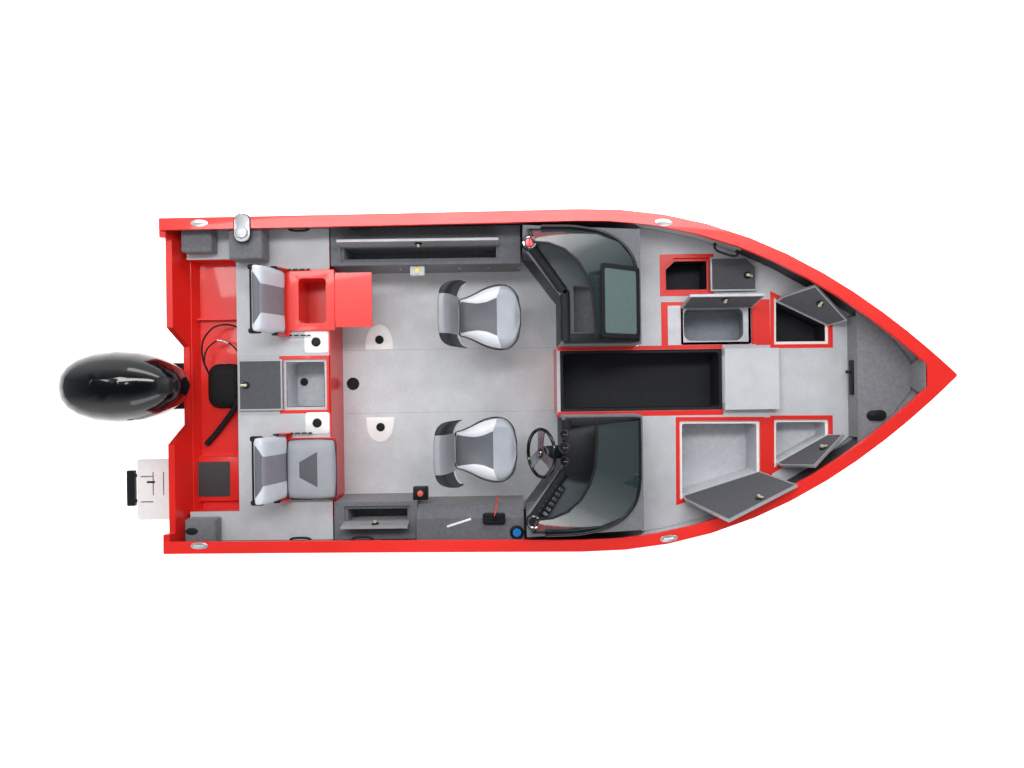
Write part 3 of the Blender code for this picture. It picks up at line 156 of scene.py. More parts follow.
# The tub liner darkened to near black: painted shade inside the deep tubs.
SHADED_BIN_LINER = plastic("bin_liner_painted_shade", "#26272B", roughness=0.6, bump=0.2, specular=0.2)
ENGINE_GREY = plastic("engine_casting", "#4A4C50", roughness=0.5, metallic=0.6)
WHITE_TRIM = plastic("white_gasket_rubber", "#ECEBEA", roughness=0.5, bump=0.08, spread=0.03)
SATIN_BLACK = Finish("satin_black_moulding", "#1C1D20", Surface.MOULDED, "black_plastic", 0.42, bump=0.12,
                     specular=0.2)
DASH_BLACK = Finish("textured_dash_vinyl", "#1F2025", Surface.GRAIN, "black_plastic", 0.55, bump=0.35,
                    specular=0.2)
DASH_GREY = Finish("slate_dash_vinyl", "#454C51", Surface.GRAIN, "black_plastic", 0.5, bump=0.35)
# Dark lining of the inner hull faces: a real side-lining, darkened into painted shade under the rails.
SHADED_HULL_LINING = Finish("hull_lining_and_painted_shade", "#3A3B40", Surface.CARPET, "hull_paint", 0.9, spread=0.2)
GLOSS_BLACK = Finish("gloss_black_enamel", "#07080B", Surface.PAINT, "gloss_black", 0.14, coat=0.7,
                     bump=0.01, specular=0.2)
FRAME_BLACK = Finish("black_frame_enamel", "#18191C", Surface.PAINT, "black_plastic", 0.25, coat=0.3,
                     bump=0.01, specular=0.2)
RUBBER = Finish("black_rubber", "#17181A", Surface.MOULDED, "black_plastic", 0.75, bump=0.3, specular=0.2)
TREAD_BLACK = Finish("non_skid_rubber", "#3A3A3C", Surface.TREAD, "black_plastic", 0.85, bump=0.6)
SEAT_LIGHT = vinyl("seat_vinyl_silver", "#9DA2AB", roughness=0.45, coat=0.05, bump=0.25)
SEAT_WHITE = vinyl("seat_vinyl_white", "#D5D8DE", roughness=0.45, coat=0.05, bump=0.25)
SEAT_MID = vinyl("seat_vinyl_grey", "#8C8E95", roughness=0.48, coat=0.05, bump=0.3)
SEAT_DARK = vinyl("seat_vinyl_charcoal", "#5C5E65", roughness=0.52, coat=0.03, bump=0.35)
BACK_SILVER = vinyl("seat_back_vinyl", "#8E9096", roughness=0.45, coat=0.05, bump=0.25)
JUMP_CUSHION = vinyl("jump_cushion_vinyl", "#8F9298", roughness=0.48, coat=0.05, bump=0.3)
INSERT_VINYL = vinyl("jump_insert_vinyl", "#55565C", roughness=0.52, bump=0.35, specular=0.2)
JUMP_MID = vinyl("jump_seat_vinyl_grey", "#7D7C84", roughness=0.5, coat=0.05, bump=0.3)
JUMP_LIGHT = vinyl("jump_seat_vinyl_light", "#C2C6CF", roughness=0.45, coat=0.05, bump=0.25)
SEAT_BLACK = vinyl("seat_vinyl_black", "#2B2C30", roughness=0.5, coat=0.05, bump=0.35, specular=0.2)
PIPING = vinyl("seat_piping", "#2E3036", roughness=0.5, bump=0.2)
SMOKED = Finish("smoked_glass", "#2C3B3D", Surface.GLASS, "smoked_glass", 0.05, coat=0.6, alpha=0.62)
# Gate glass: a pale teal base, lighter than the windshield's smoked glass. It is partly the glass tint and
# partly a painted reflection of the bright studio.
GLASS_TINT_AND_REFLECTION = Finish("gate_glass_tint_and_painted_reflection", "#6E8484", Surface.GLASS, "smoked_glass", 0.05, coat=0.6, alpha=0.5)
BARE = Finish("bare_aluminium", "#D9DBDD", Surface.BRUSHED, "bare_aluminium", 0.38, metallic=0.85)
PLATFORM = Finish("white_platform", "#EBEBEB", Surface.MOULDED, "bare_aluminium", 0.5, spread=0.03, bump=0.1)
EDGE = Finish("lid_edge_aluminium", "#A9ABAF", Surface.BRUSHED, "bare_aluminium", 0.45, metallic=0.4)
SPOKE_STEEL = brushed_steel("brushed_spoke_steel", "#A9ACB1", roughness=0.24, metallic=0.95)
STEEL = Finish("stainless_steel", "#B4B7BB", Surface.POLISHED, "steel", 0.18, metallic=1.0)
BRACKET = brushed_steel("bracket_steel", "#B0B2B5", roughness=0.35, metallic=0.45)
GAUGE_RIM = brushed_steel("dark_gauge_rim", "#56575C", roughness=0.4, metallic=0.6)
CHROME = Finish("chrome", "#DCDFE2", Surface.POLISHED, "steel", 0.06, metallic=1.0)
LATCH_METAL = brushed_steel("latch_cam_metal", "#D2CBB0", roughness=0.35, metallic=0.4)
RED_LENS = lens("red_cup_light", "#C22430", roughness=0.12, glow=0.5)
BLUE_LENS = lens("blue_cup_light", "#1F66A8", roughness=0.08, glow=0.5)
AMBER_LENS = lens("amber_courtesy_light", "#B9503C", roughness=0.2, glow=0.5)
WARM_LENS = lens("warm_courtesy_light", "#CDBF78", roughness=0.2, glow=0.3)
WHITE_LENS = Finish("white_strip_light", "#E4E6E9", Surface.LENS, "liner_plastic", 0.3, glow=0.15)
DIAL_FACE = Finish("gauge_dial", "#15161A", Surface.DIAL, "black_plastic", 0.3)
STUDIO_FLOOR = Finish("studio_floor", "#FFFFFF", Surface.MOULDED, "", 0.9, spread=0.0, bump=0.0, glow=0.75)


def linear(code: str) -> Quad:
    """Turn an sRGB hex colour into Blender's linear colour.

    Args:
        code: Colour such as "#E2201A".

    Returns:
        Linear red, green, blue and alpha 1.
    """
    values = [int(code[i:i + 2], 16) / 255 for i in (1, 3, 5)]
    low = [v / 12.92 if v <= 0.04045 else ((v + 0.055) / 1.055) ** 2.4 for v in values]
    return (low[0], low[1], low[2], 1.0)


def scaled(colour: Sequence[float], factor: float) -> Quad:
    """Brighten or darken a linear colour.

    Args:
        colour: Linear colour.
        factor: Multiplier of its channels.

    Returns:
        The changed colour, no channel above one.
    """
    return tuple([min(1.0, c * factor) for c in colour[:3]] + [1.0])


def math_output(tree: bpy.types.NodeTree, operation: str, *values: object) -> Socket:
    """Add a math node to a tree.

    Args:
        tree: Where it goes.
        operation: What it does.
        values: Its inputs, numbers or outputs of other nodes.

    Returns:
        Its output.
    """
    node = tree.nodes.new("ShaderNodeMath")
    node.operation = operation
    for socket, value in zip(node.inputs, values):
        if isinstance(value, Socket):
            tree.links.new(value, socket)
        else:
            socket.default_value = value
    return node.outputs[0]


class Graph:
    """A material's node tree, with short ways to add and link nodes."""

    def __init__(self, name: str) -> None:
        """Start an empty tree with a Principled shader.

        Args:
            name: Name of the material.
        """
        self.material = bpy.data.materials.new(name)
        self.material.use_nodes = True
        self.tree = self.material.node_tree
        self.shader = self.tree.nodes["Principled BSDF"]
        coordinates = self.tree.nodes.new("ShaderNodeTexCoord")
        self.place = coordinates.outputs["Object"]

    def add(self, kind: str, **sockets: object) -> bpy.types.Node:
        """Add a node and set or link its inputs.

        Args:
            kind: Node type without the "ShaderNode" in front.
            sockets: Input name, spaces as underscores, to its value or to the output linked to it.

        Returns:
            The node.
        """
        node = self.tree.nodes.new(f"ShaderNode{kind}")
        for key, value in sockets.items():
            socket = node.inputs[key.replace("_", " ")]
            if isinstance(value, Socket):
                self.tree.links.new(value, socket)
            else:
                socket.default_value = value
        return node

    def math(self, operation: str, *values: object) -> Socket:
        """Add a math node.

        Args:
            operation: What it does.
            values: Its inputs, numbers or outputs of other nodes.

        Returns:
            Its output.
        """
        return math_output(self.tree, operation, *values)

    def feed(self, output: Socket, name: str) -> None:
        """Link an output to an input of the shader.

        Args:
            output: Output of a node.
            name: Name of the shader's input.
        """
        self.tree.links.new(output, self.shader.inputs[name])

    def noise(self, scale: float, detail: float = 3.0, stretch: Optional[Point] = None) -> Socket:
        """Noise over the object's own coordinates.

        Args:
            scale: Repeats in a metre.
            detail: Octaves of the noise.
            stretch: Scale of each axis, for a grain that runs one way.

        Returns:
            The noise's value.
        """
        place = self.place
        if stretch:
            place = self.add("Mapping", Vector=self.place, Scale=stretch).outputs[0]
        return self.add("TexNoise", Vector=place, Scale=scale, Detail=detail).outputs["Fac"]

    def tint(self, value: Socket, colour: Sequence[float], spread: float) -> Socket:
        """Vary a colour in brightness with a value from 0.3 to 0.7.

        Args:
            value: What drives the colour.
            colour: Linear colour in the middle.
            spread: Share by which it darkens and brightens.

        Returns:
            The colour output.
        """
        ramp = self.add("ValToRGB", Fac=value)
        first, last = ramp.color_ramp.elements
        first.position, last.position = 0.3, 0.7
        first.color = scaled(colour, 1 - spread)
        last.color = scaled(colour, 1 + spread)
        return ramp.outputs["Color"]

    def emboss(self, height: Socket, strength: float, distance: float) -> None:
        """Bump the surface.

        Args:
            height: Height from 0 to 1.
            strength: Share of the bump that shows.
            distance: Depth in metres.
        """
        bump = self.add("Bump", Height=height, Strength=strength, Distance=distance)
        self.feed(bump.outputs["Normal"], "Normal")

    def gloss(self, value: Socket, low: float, high: float) -> None:
        """Drive the roughness between two limits.

        Args:
            value: What drives it.
            low: Roughness at 0.3.
            high: Roughness at 0.7.
        """
        span = self.add("MapRange", Value=value, From_Min=0.3, From_Max=0.7, To_Min=low, To_Max=high)
        self.feed(span.outputs["Result"], "Roughness")


class Paints:
    """The library of materials, each made once."""

    def __init__(self) -> None:
        """Start with none made."""
        self.made: dict[str, bpy.types.Material] = {}

    def get(self, finish: Finish) -> bpy.types.Material:
        """The material of a finish.

        Args:
            finish: What it looks like.

        Returns:
            The material, made at its first use.
        """
        if finish.name not in self.made:
            self.made[finish.name] = self.make(finish)
        return self.made[finish.name]

    def make(self, finish: Finish) -> bpy.types.Material:
        """Build the node tree of a finish.

        Args:
            finish: What it looks like.

        Returns:
            The new material.
        """
        graph = Graph(finish.name)
        colour = linear(finish.colour)
        shader = graph.shader.inputs
        shader["Metallic"].default_value = finish.metallic
        shader["Roughness"].default_value = finish.roughness
        shader["Coat Weight"].default_value = finish.coat
        shader["Coat Roughness"].default_value = 0.04
        shader["Specular IOR Level"].default_value = finish.specular
        shader["Sheen Weight"].default_value = finish.sheen
        shader["Alpha"].default_value = finish.alpha
        if finish.glow:
            shader["Emission Color"].default_value = colour
            shader["Emission Strength"].default_value = finish.glow
        graph.material.diffuse_color = colour
        build = {
            Surface.PAINT: self.paint, Surface.WEAVE: self.weave, Surface.CARPET: self.carpet,
            Surface.GRAIN: self.grain, Surface.MOULDED: self.moulded, Surface.BRUSHED: self.brushed,
            Surface.POLISHED: self.polished, Surface.GLASS: self.glazed, Surface.LENS: self.moulded,
            Surface.TREAD: self.tread, Surface.DIAL: self.polished,
        }[finish.surface]
        build(graph, finish, colour)
        return graph.material

    @staticmethod
    def paint(graph: Graph, finish: Finish, colour: Sequence[float]) -> None:
        """Sprayed enamel: slow drift of its colour and fine orange peel under the clear coat."""
        drift = graph.noise(1.6, 2.0)
        graph.feed(graph.tint(drift, colour, finish.spread * 0.5), "Base Color")
        graph.gloss(graph.noise(3.0, 2.0), finish.roughness * 0.92, finish.roughness * 1.1)
        graph.emboss(graph.noise(260.0, 1.0), finish.bump * 2, 0.0003)

    @staticmethod
    def weave(graph: Graph, finish: Finish, colour: Sequence[float]) -> None:
        """Woven vinyl: crossed yarns, light and dark flecks, and slow soiling."""
        yarns = []
        for direction in ("X", "Y"):
            wave = graph.add("TexWave", Vector=graph.place, Scale=150.0, Distortion=1.2, Detail=1.0)
            wave.bands_direction = direction
            yarns.append(wave.outputs["Fac"])
        cross = graph.math("MULTIPLY", *yarns)
        fleck = graph.noise(330.0, 3.0, (1.0, 0.35, 1.0))
        drift = graph.noise(7.0, 5.0)
        blend = graph.math("MULTIPLY_ADD", fleck, 0.6, graph.math("MULTIPLY", drift, 0.4))
        graph.feed(graph.tint(blend, colour, finish.spread * 2.2), "Base Color")
        graph.gloss(drift, finish.roughness * 0.9, finish.roughness * 1.15)
        graph.emboss(cross, finish.bump, 0.0008)

    @staticmethod
    def carpet(graph: Graph, finish: Finish, colour: Sequence[float]) -> None:
        """Cut-pile marine carpet: salt-and-pepper tufts over a mottled ground."""
        tuft = graph.noise(420.0, 4.0)
        mottle = graph.noise(38.0, 5.0)
        mix = graph.add("Mix", Factor=0.35)
        graph.tree.links.new(tuft, mix.inputs[2])
        graph.tree.links.new(mottle, mix.inputs[3])
        graph.feed(graph.tint(mix.outputs[0], colour, finish.spread), "Base Color")
        graph.emboss(tuft, 0.8, 0.0018)

    @staticmethod
    def grain(graph: Graph, finish: Finish, colour: Sequence[float]) -> None:
        """Upholstery vinyl: pebbled grain with a soft change of shade."""
        cells = graph.add("TexVoronoi", Vector=graph.place, Scale=420.0)
        graph.feed(graph.tint(graph.noise(14.0, 4.0), colour, finish.spread * 0.6), "Base Color")
        graph.gloss(graph.noise(45.0, 3.0), finish.roughness * 0.85, finish.roughness * 1.2)
        graph.emboss(cells.outputs["Distance"], finish.bump, 0.0005)

    @staticmethod
    def moulded(graph: Graph, finish: Finish, colour: Sequence[float]) -> None:
        """Moulded plastic or rubber: fine spark texture and faint scuffs."""
        graph.feed(graph.tint(graph.noise(24.0, 5.0), colour, finish.spread), "Base Color")
        graph.gloss(graph.noise(60.0, 4.0), finish.roughness * 0.88, min(1.0, finish.roughness * 1.15))
        graph.emboss(graph.noise(900.0, 2.0), finish.bump, 0.0003)

    @staticmethod
    def brushed(graph: Graph, finish: Finish, colour: Sequence[float]) -> None:
        """Rolled aluminium: fine lines along the boat and dull patches."""
        lines = graph.noise(60.0, 4.0, (0.12, 6.0, 6.0))
        graph.feed(graph.tint(lines, colour, finish.spread * 0.7), "Base Color")
        graph.gloss(graph.noise(12.0, 5.0), finish.roughness * 0.75, finish.roughness * 1.3)
        graph.emboss(lines, 0.15, 0.0003)

    @staticmethod
    def polished(graph: Graph, finish: Finish, colour: Sequence[float]) -> None:
        """Polished metal, glass or a glossy face: clean, with faint wiping marks."""
        marks = graph.noise(18.0, 6.0, (1.0, 3.0, 1.0))
        graph.feed(graph.tint(marks, colour, finish.spread * 0.3), "Base Color")
        graph.gloss(marks, finish.roughness * 0.7, finish.roughness * 1.6)

    @staticmethod
    def glazed(graph: Graph, finish: Finish, colour: Sequence[float]) -> None:
        """Tinted glazing: even colour and a few dull wiping marks."""
        graph.feed(graph.tint(graph.noise(2.0, 1.0), colour, 0.03), "Base Color")
        graph.gloss(graph.noise(9.0, 3.0), finish.roughness * 0.8, finish.roughness * 1.4)

    @staticmethod
    def tread(graph: Graph, finish: Finish, colour: Sequence[float]) -> None:
        """Non-skid rubber: raised pips on a matt ground."""
        pips = graph.add("TexVoronoi", Vector=graph.place, Scale=130.0)
        graph.feed(graph.tint(graph.noise(90.0, 3.0), colour, finish.spread), "Base Color")
        graph.emboss(pips.outputs["Distance"], finish.bump, 0.0012)


PAINTS = Paints()


def smooth_group() -> bpy.types.NodeTree:
    """Geometry nodes that shade a mesh smooth but keep its hard edges.

    Returns:
        The node group, for a Nodes modifier.
    """
    tree = bpy.data.node_groups.new("smooth_by_edge_angle", "GeometryNodeTree")
    tree.interface.new_socket("Geometry", in_out="INPUT", socket_type="NodeSocketGeometry")
    tree.interface.new_socket("Geometry", in_out="OUTPUT", socket_type="NodeSocketGeometry")
    start = tree.nodes.new("NodeGroupInput")
    end = tree.nodes.new("NodeGroupOutput")
    faces = tree.nodes.new("GeometryNodeSetShadeSmooth")
    edges = tree.nodes.new("GeometryNodeSetShadeSmooth")
    edges.domain = "EDGE"
    edges.inputs["Shade Smooth"].default_value = False
    angle = tree.nodes.new("GeometryNodeInputMeshEdgeAngle")
    limit = tree.nodes.new("FunctionNodeCompare")
    limit.data_type = "FLOAT"
    limit.operation = "GREATER_THAN"
    limit.inputs["B"].default_value = math.radians(32)
    tree.links.new(start.outputs[0], faces.inputs["Geometry"])
    tree.links.new(faces.outputs[0], edges.inputs["Geometry"])
    tree.links.new(angle.outputs["Unsigned Angle"], limit.inputs["A"])
    tree.links.new(limit.outputs["Result"], edges.inputs["Selection"])
    tree.links.new(edges.outputs[0], end.inputs[0])
    return tree


def lining_group(bands: Sequence[tuple[float, Finish]]) -> bpy.types.NodeTree:
    """Geometry nodes that line the inner faces of the hull, those that look across the boat to its middle.

    Args:
        bands: Where each lining begins along the boat, from aft, and its finish.

    Returns:
        The node group, for a Nodes modifier.
    """
    tree = bpy.data.node_groups.new("line_inner_faces", "GeometryNodeTree")
    tree.interface.new_socket("Geometry", in_out="INPUT", socket_type="NodeSocketGeometry")
    tree.interface.new_socket("Geometry", in_out="OUTPUT", socket_type="NodeSocketGeometry")
    place = tree.nodes.new("ShaderNodeSeparateXYZ")
    facing = tree.nodes.new("ShaderNodeSeparateXYZ")
    tree.links.new(tree.nodes.new("GeometryNodeInputPosition").outputs[0], place.inputs[0])
    tree.links.new(tree.nodes.new("GeometryNodeInputNormal").outputs[0], facing.inputs[0])

    across = math_output(tree, "MULTIPLY", place.outputs["Y"], facing.outputs["Y"])
    inward = math_output(tree, "LESS_THAN", across, -0.02)
    shape = tree.nodes.new("NodeGroupInput").outputs[0]
    for begins, finish in bands:
        paint = tree.nodes.new("GeometryNodeSetMaterial")
        paint.inputs["Material"].default_value = PAINTS.get(finish)
        ahead = math_output(tree, "GREATER_THAN", place.outputs["X"], begins)
        chosen = math_output(tree, "MULTIPLY", inward, ahead)
        tree.links.new(shape, paint.inputs["Geometry"])
        tree.links.new(chosen, paint.inputs["Selection"])
        shape = paint.outputs[0]
    tree.links.new(shape, tree.nodes.new("NodeGroupOutput").inputs[0])
    return tree


def settle(piece: bpy.types.Object, finish: Finish, body: str,
           replaces: Iterable[str] = ()) -> bpy.types.Object:
    """Give a new piece its material and its body, and hide the CAD nodes that it stands for.

    Args:
        piece: The piece, in place.
        finish: Its finish, unless it has materials already.
        body: Body that it rides on.
        replaces: CAD nodes that it stands for.

    Returns:
        The piece.
    """
    if not piece.data.materials:
        piece.data.materials.append(PAINTS.get(finish))
    if not piece.users_collection:
        bpy.context.scene.collection.objects.link(piece)
    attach(piece, body)
    LOG.info("%s rides on %s", piece.name, body)
    nodes = list(replaces)
    if nodes:
        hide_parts(*nodes)
    return piece


def mesh_piece(name: str, bm: BMesh, angle: float = 35.0) -> bpy.types.Object:
    """Turn a bmesh into a smooth-shaded object that keeps its hard edges.

    Args:
        name: Name of the object.
        bm: The shape. It is freed.
        angle: Edges sharper than this many degrees stay hard.

    Returns:
        The object, linked to the scene.
    """
    bmesh.ops.recalc_face_normals(bm, faces=bm.faces)
    mesh = bpy.data.meshes.new(name)
    bm.to_mesh(mesh)
    bm.free()
    mesh.shade_smooth()
    mesh.set_sharp_from_angle(angle=math.radians(angle))
    piece = bpy.data.objects.new(name, mesh)
    bpy.context.scene.collection.objects.link(piece)
    return piece


def trim(name: str, bm: BMesh, finish: Finish, body: str = "hull", replaces: Iterable[str] = (),
         angle: float = 35.0) -> bpy.types.Object:
    """Turn a bmesh into a finished piece that rides on a body.

    Args:
        name: Name of the piece.
        bm: The shape. It is freed.
        finish: Its finish.
        body: Body that it rides on.
        replaces: CAD nodes that it stands for.
        angle: Edges sharper than this many degrees stay hard.

    Returns:
        The piece.
    """
    return settle(mesh_piece(name, bm, angle), finish, body, replaces)


def add_slab(bm: BMesh, outline: Sequence[Flat], low: float, high: float, bevel: float = 0.0) -> None:
    """Add a flat plate with rounded rims to a bmesh.

    Args:
        bm: Where it goes.
        outline: Its corners seen from above.
        low: Height of its underside.
        high: Height of its top.
        bevel: Radius of its edges.
    """
    bottom = [bm.verts.new((x, y, low)) for x, y in outline]
    top = [bm.verts.new((x, y, high)) for x, y in outline]
    made = [bm.faces.new(bottom[::-1]), bm.faces.new(top)]
    count = len(outline)
    for i in range(count):
        j = (i + 1) % count
        made.append(bm.faces.new((bottom[i], bottom[j], top[j], top[i])))
    if bevel:
        rims = {edge for face in made[:2] for edge in face.edges}
        bmesh.ops.bevel(bm, geom=list(rims), offset=bevel, segments=2, profile=0.5, affect="EDGES")


def bridge(bm: BMesh, rings: Sequence[Sequence[bmesh.types.BMVert]]) -> None:
    """Join rings of as many vertices with quads.

    Args:
        bm: Where the vertices are.
        rings: Rings of vertices, in order.
    """
    for low, high in zip(rings, rings[1:]):
        for i in range(len(low)):
            j = (i + 1) % len(low)
            bm.faces.new((low[i], low[j], high[j], high[i]))


def add_ring(bm: BMesh, outer: Sequence[Flat], inner: Sequence[Flat], low: float, high: float) -> None:
    """Add a flat frame between two outlines with as many corners.

    Args:
        bm: Where it goes.
        outer: Outer corners seen from above.
        inner: Inner corners, in the same order.
        low: Height of its underside.
        high: Height of its top.
    """
    rows = [[bm.verts.new((x, y, z)) for x, y in line] for line, z in
            ((outer, low), (outer, high), (inner, high), (inner, low))]
    bridge(bm, rows + rows[:1])


def add_box(bm: BMesh, low: Point, high: Point, bevel: float = 0.0, segments: int = 2) -> list:
    """Add a box with rounded edges to a bmesh.

    Args:
        bm: Where it goes.
        low: Lowest corner.
        high: Highest corner.
        bevel: Radius of its edges.
        segments: Steps of the rounding.

    Returns:
        Its vertices.
    """
    size = Vector(high) - Vector(low)
    middle = (Vector(high) + Vector(low)) / 2
    place = Matrix.Translation(middle) @ Matrix.Diagonal((*size, 1))
    made = bmesh.ops.create_cube(bm, size=1.0, matrix=place)["verts"]
    if bevel:
        edges = list({edge for vertex in made for edge in vertex.link_edges})
        made = bmesh.ops.bevel(bm, geom=edges, offset=bevel, segments=segments, profile=0.5,
                               affect="EDGES")["verts"]
    return made


def add_turned(bm: BMesh, profile: Sequence[Flat], place: Matrix, segments: int = 28) -> None:
    """Add a turned shape to a bmesh.

    Args:
        bm: Where it goes.
        profile: Radius and height pairs, from the bottom up.
        place: Where its foot stands and which way its +Z points.
        segments: Steps round the axis.
    """
    rings = []
    for radius, height in profile:
        if radius < 1e-6:
            rings.append([bm.verts.new(place @ Vector((0, 0, height)))])
            continue
        ring = []
        for i in range(segments):
            a = 2 * math.pi * i / segments
            ring.append(bm.verts.new(place @ Vector((radius * math.cos(a), radius * math.sin(a), height))))
        rings.append(ring)
    for low, high in zip(rings, rings[1:]):
        for i in range(segments):
            j = (i + 1) % segments
            if len(low) == 1 and len(high) == 1:
                continue
            if len(low) == 1:
                bm.faces.new((low[0], high[j], high[i]))
            elif len(high) == 1:
                bm.faces.new((low[i], low[j], high[0]))
            else:
                bm.faces.new((low[i], low[j], high[j], high[i]))


def add_tube(bm: BMesh, path: Sequence[Vector], radius: float, sides: int = 12, closed: bool = False) -> None:
    """Add a round tube along a path to a bmesh.

    Args:
        bm: Where it goes.
        path: Points of its middle line.
        radius: Radius of the tube.
        sides: Sides of its section.
        closed: Whether the path's ends meet.
    """
    points = [Vector(p) for p in path]
    count = len(points)
    rings = []
    across = None
    for i, here in enumerate(points):
        before = points[i - 1] if i or closed else here
        after = points[(i + 1) % count] if i < count - 1 or closed else here
        along = (after - before).normalized()
        if across is None:
            across = along.orthogonal().normalized()
        across = (across - along * across.dot(along)).normalized()
        up = along.cross(across)
        ring = []
        for k in range(sides):
            a = 2 * math.pi * k / sides
            ring.append(bm.verts.new(here + (across * math.cos(a) + up * math.sin(a)) * radius))
        rings.append(ring)
    if closed:
        last, first = rings[-1], rings[0]
        shift = min(range(sides), key=lambda s: (first[s].co - last[0].co).length)
        rings.append(first[shift:] + first[:shift])
    bridge(bm, rings)
    if not closed:
        bm.faces.new(rings[0][::-1])
        bm.faces.new(rings[-1])


def curve_through(points: Sequence[Point], steps: int = 8, closed: bool = False) -> list[Vector]:
    """Smooth curve through points.

    Args:
        points: Points that it passes.
        steps: Points made between two of them.
        closed: Whether it returns to its start.

    Returns:
        Points of the curve.
    """
    line = [Vector(p) for p in points]
    count = len(line)
    out = []
    spans = count if closed else count - 1
    for i in range(spans):
        p1, p2 = line[i], line[(i + 1) % count]
        p0 = line[i - 1] if i or closed else p1 * 2 - p2
        p3 = line[(i + 2) % count] if i + 2 < count or closed else p2 * 2 - p1
        for k in range(steps):
            t = k / steps
            out.append(0.5 * (2 * p1 + (p2 - p0) * t + (2 * p0 - 5 * p1 + 4 * p2 - p3) * t ** 2
                              + (3 * p1 - p0 - 3 * p2 + p3) * t ** 3))
    if not closed:
        out.append(line[-1])
    return out


def rect(x0: float, x1: float, y0: float, y1: float) -> list[Flat]:
    """Corners of a rectangle, counterclockwise from above.

    Args:
        x0: Low X.
        x1: High X.
        y0: Low Y.
        y1: High Y.

    Returns:
        Four corners.
    """
    return [(x0, y0), (x1, y0), (x1, y1), (x0, y1)]


def grown(outline: Sequence[Flat], by: float) -> list[Flat]:
    """Move each side of a convex outline out by a distance.

    Args:
        outline: Corners, counterclockwise.
        by: Distance, negative to shrink.

    Returns:
        The new corners.
    """
    out = []
    count = len(outline)
    for i in range(count):
        here = Vector(outline[i])
        back = (here - Vector(outline[i - 1])).normalized()
        ahead = (Vector(outline[(i + 1) % count]) - here).normalized()
        n0, n1 = Vector((back.y, -back.x)), Vector((ahead.y, -ahead.x))
        out.append(tuple(here + (n0 + n1) * (by / (1 + n0.dot(n1)))))
    return out


def rounded(outline: Sequence[Flat], radius: float, steps: int = 5) -> list[Flat]:
    """Round the corners of an outline.

    Args:
        outline: Corners, counterclockwise.
        radius: Radius of the corners.
        steps: Points of each corner, less one.

    Returns:
        The rounded outline.
    """
    out = []
    count = len(outline)
    for i in range(count):
        here = Vector(outline[i])
        back = (Vector(outline[i - 1]) - here)
        ahead = (Vector(outline[(i + 1) % count]) - here)
        reach = min(radius, back.length * 0.48, ahead.length * 0.48)
        a, b = here + back.normalized() * reach, here + ahead.normalized() * reach
        for k in range(steps + 1):
            t = k / steps
            out.append(tuple(a * (1 - t) ** 2 + here * 2 * t * (1 - t) + b * t ** 2))
    return out


def stand(at: Sequence[float], up: Sequence[float] = (0, 0, 1)) -> Matrix:
    """Placement of a turned shape.

    Args:
        at: Where its foot stands.
        up: Where its axis points.

    Returns:
        The matrix.
    """
    return Matrix.Translation(Vector(at)) @ Vector(up).to_track_quat("Z", "Y").to_matrix().to_4x4()


def top_of(node: str, x: float, y: float) -> float:
    """Height of a CAD node's top at a place seen from above.

    Args:
        node: Name of the node.
        x: Place along the boat.
        y: Place across the boat.

    Returns:
        The height, or the node's highest point where it isn't under that place.
    """
    piece = FRAME["nodes"][node]
    hit, place, _, _ = piece.ray_cast(Vector((x, y, 5.0)), Vector((0, 0, -1)))
    return place.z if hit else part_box(node)[1].z


def closed_to_rest(joint: str) -> Matrix:
    """Turn from a lid's shut place to its place at rest.

    Args:
        joint: Name of the lid's joint, which closes at its upper limit.

    Returns:
        The matrix.
    """
    facts = next(j for j in FRAME["joints"] if j["name"] == joint)
    pivot = Vector(facts["pos_m"])
    turn = Matrix.Rotation(-math.radians(facts["range_deg"][1]), 4, Vector(facts["axis"]))
    return Matrix.Translation(pivot) @ turn @ Matrix.Translation(-pivot)


FRAME: dict = {}


LEAVES = ("rod_locker_leaf_fwd", "rod_locker_leaf_mid", "rod_locker_leaf_aft")
RED_BOXES = ("jump_seat_lid", "jump_seat_box_port", "jump_seat_base_stbd")
SIDE_BOXES = ("side_box_port", "side_box_stbd", "side_panel_stbd")


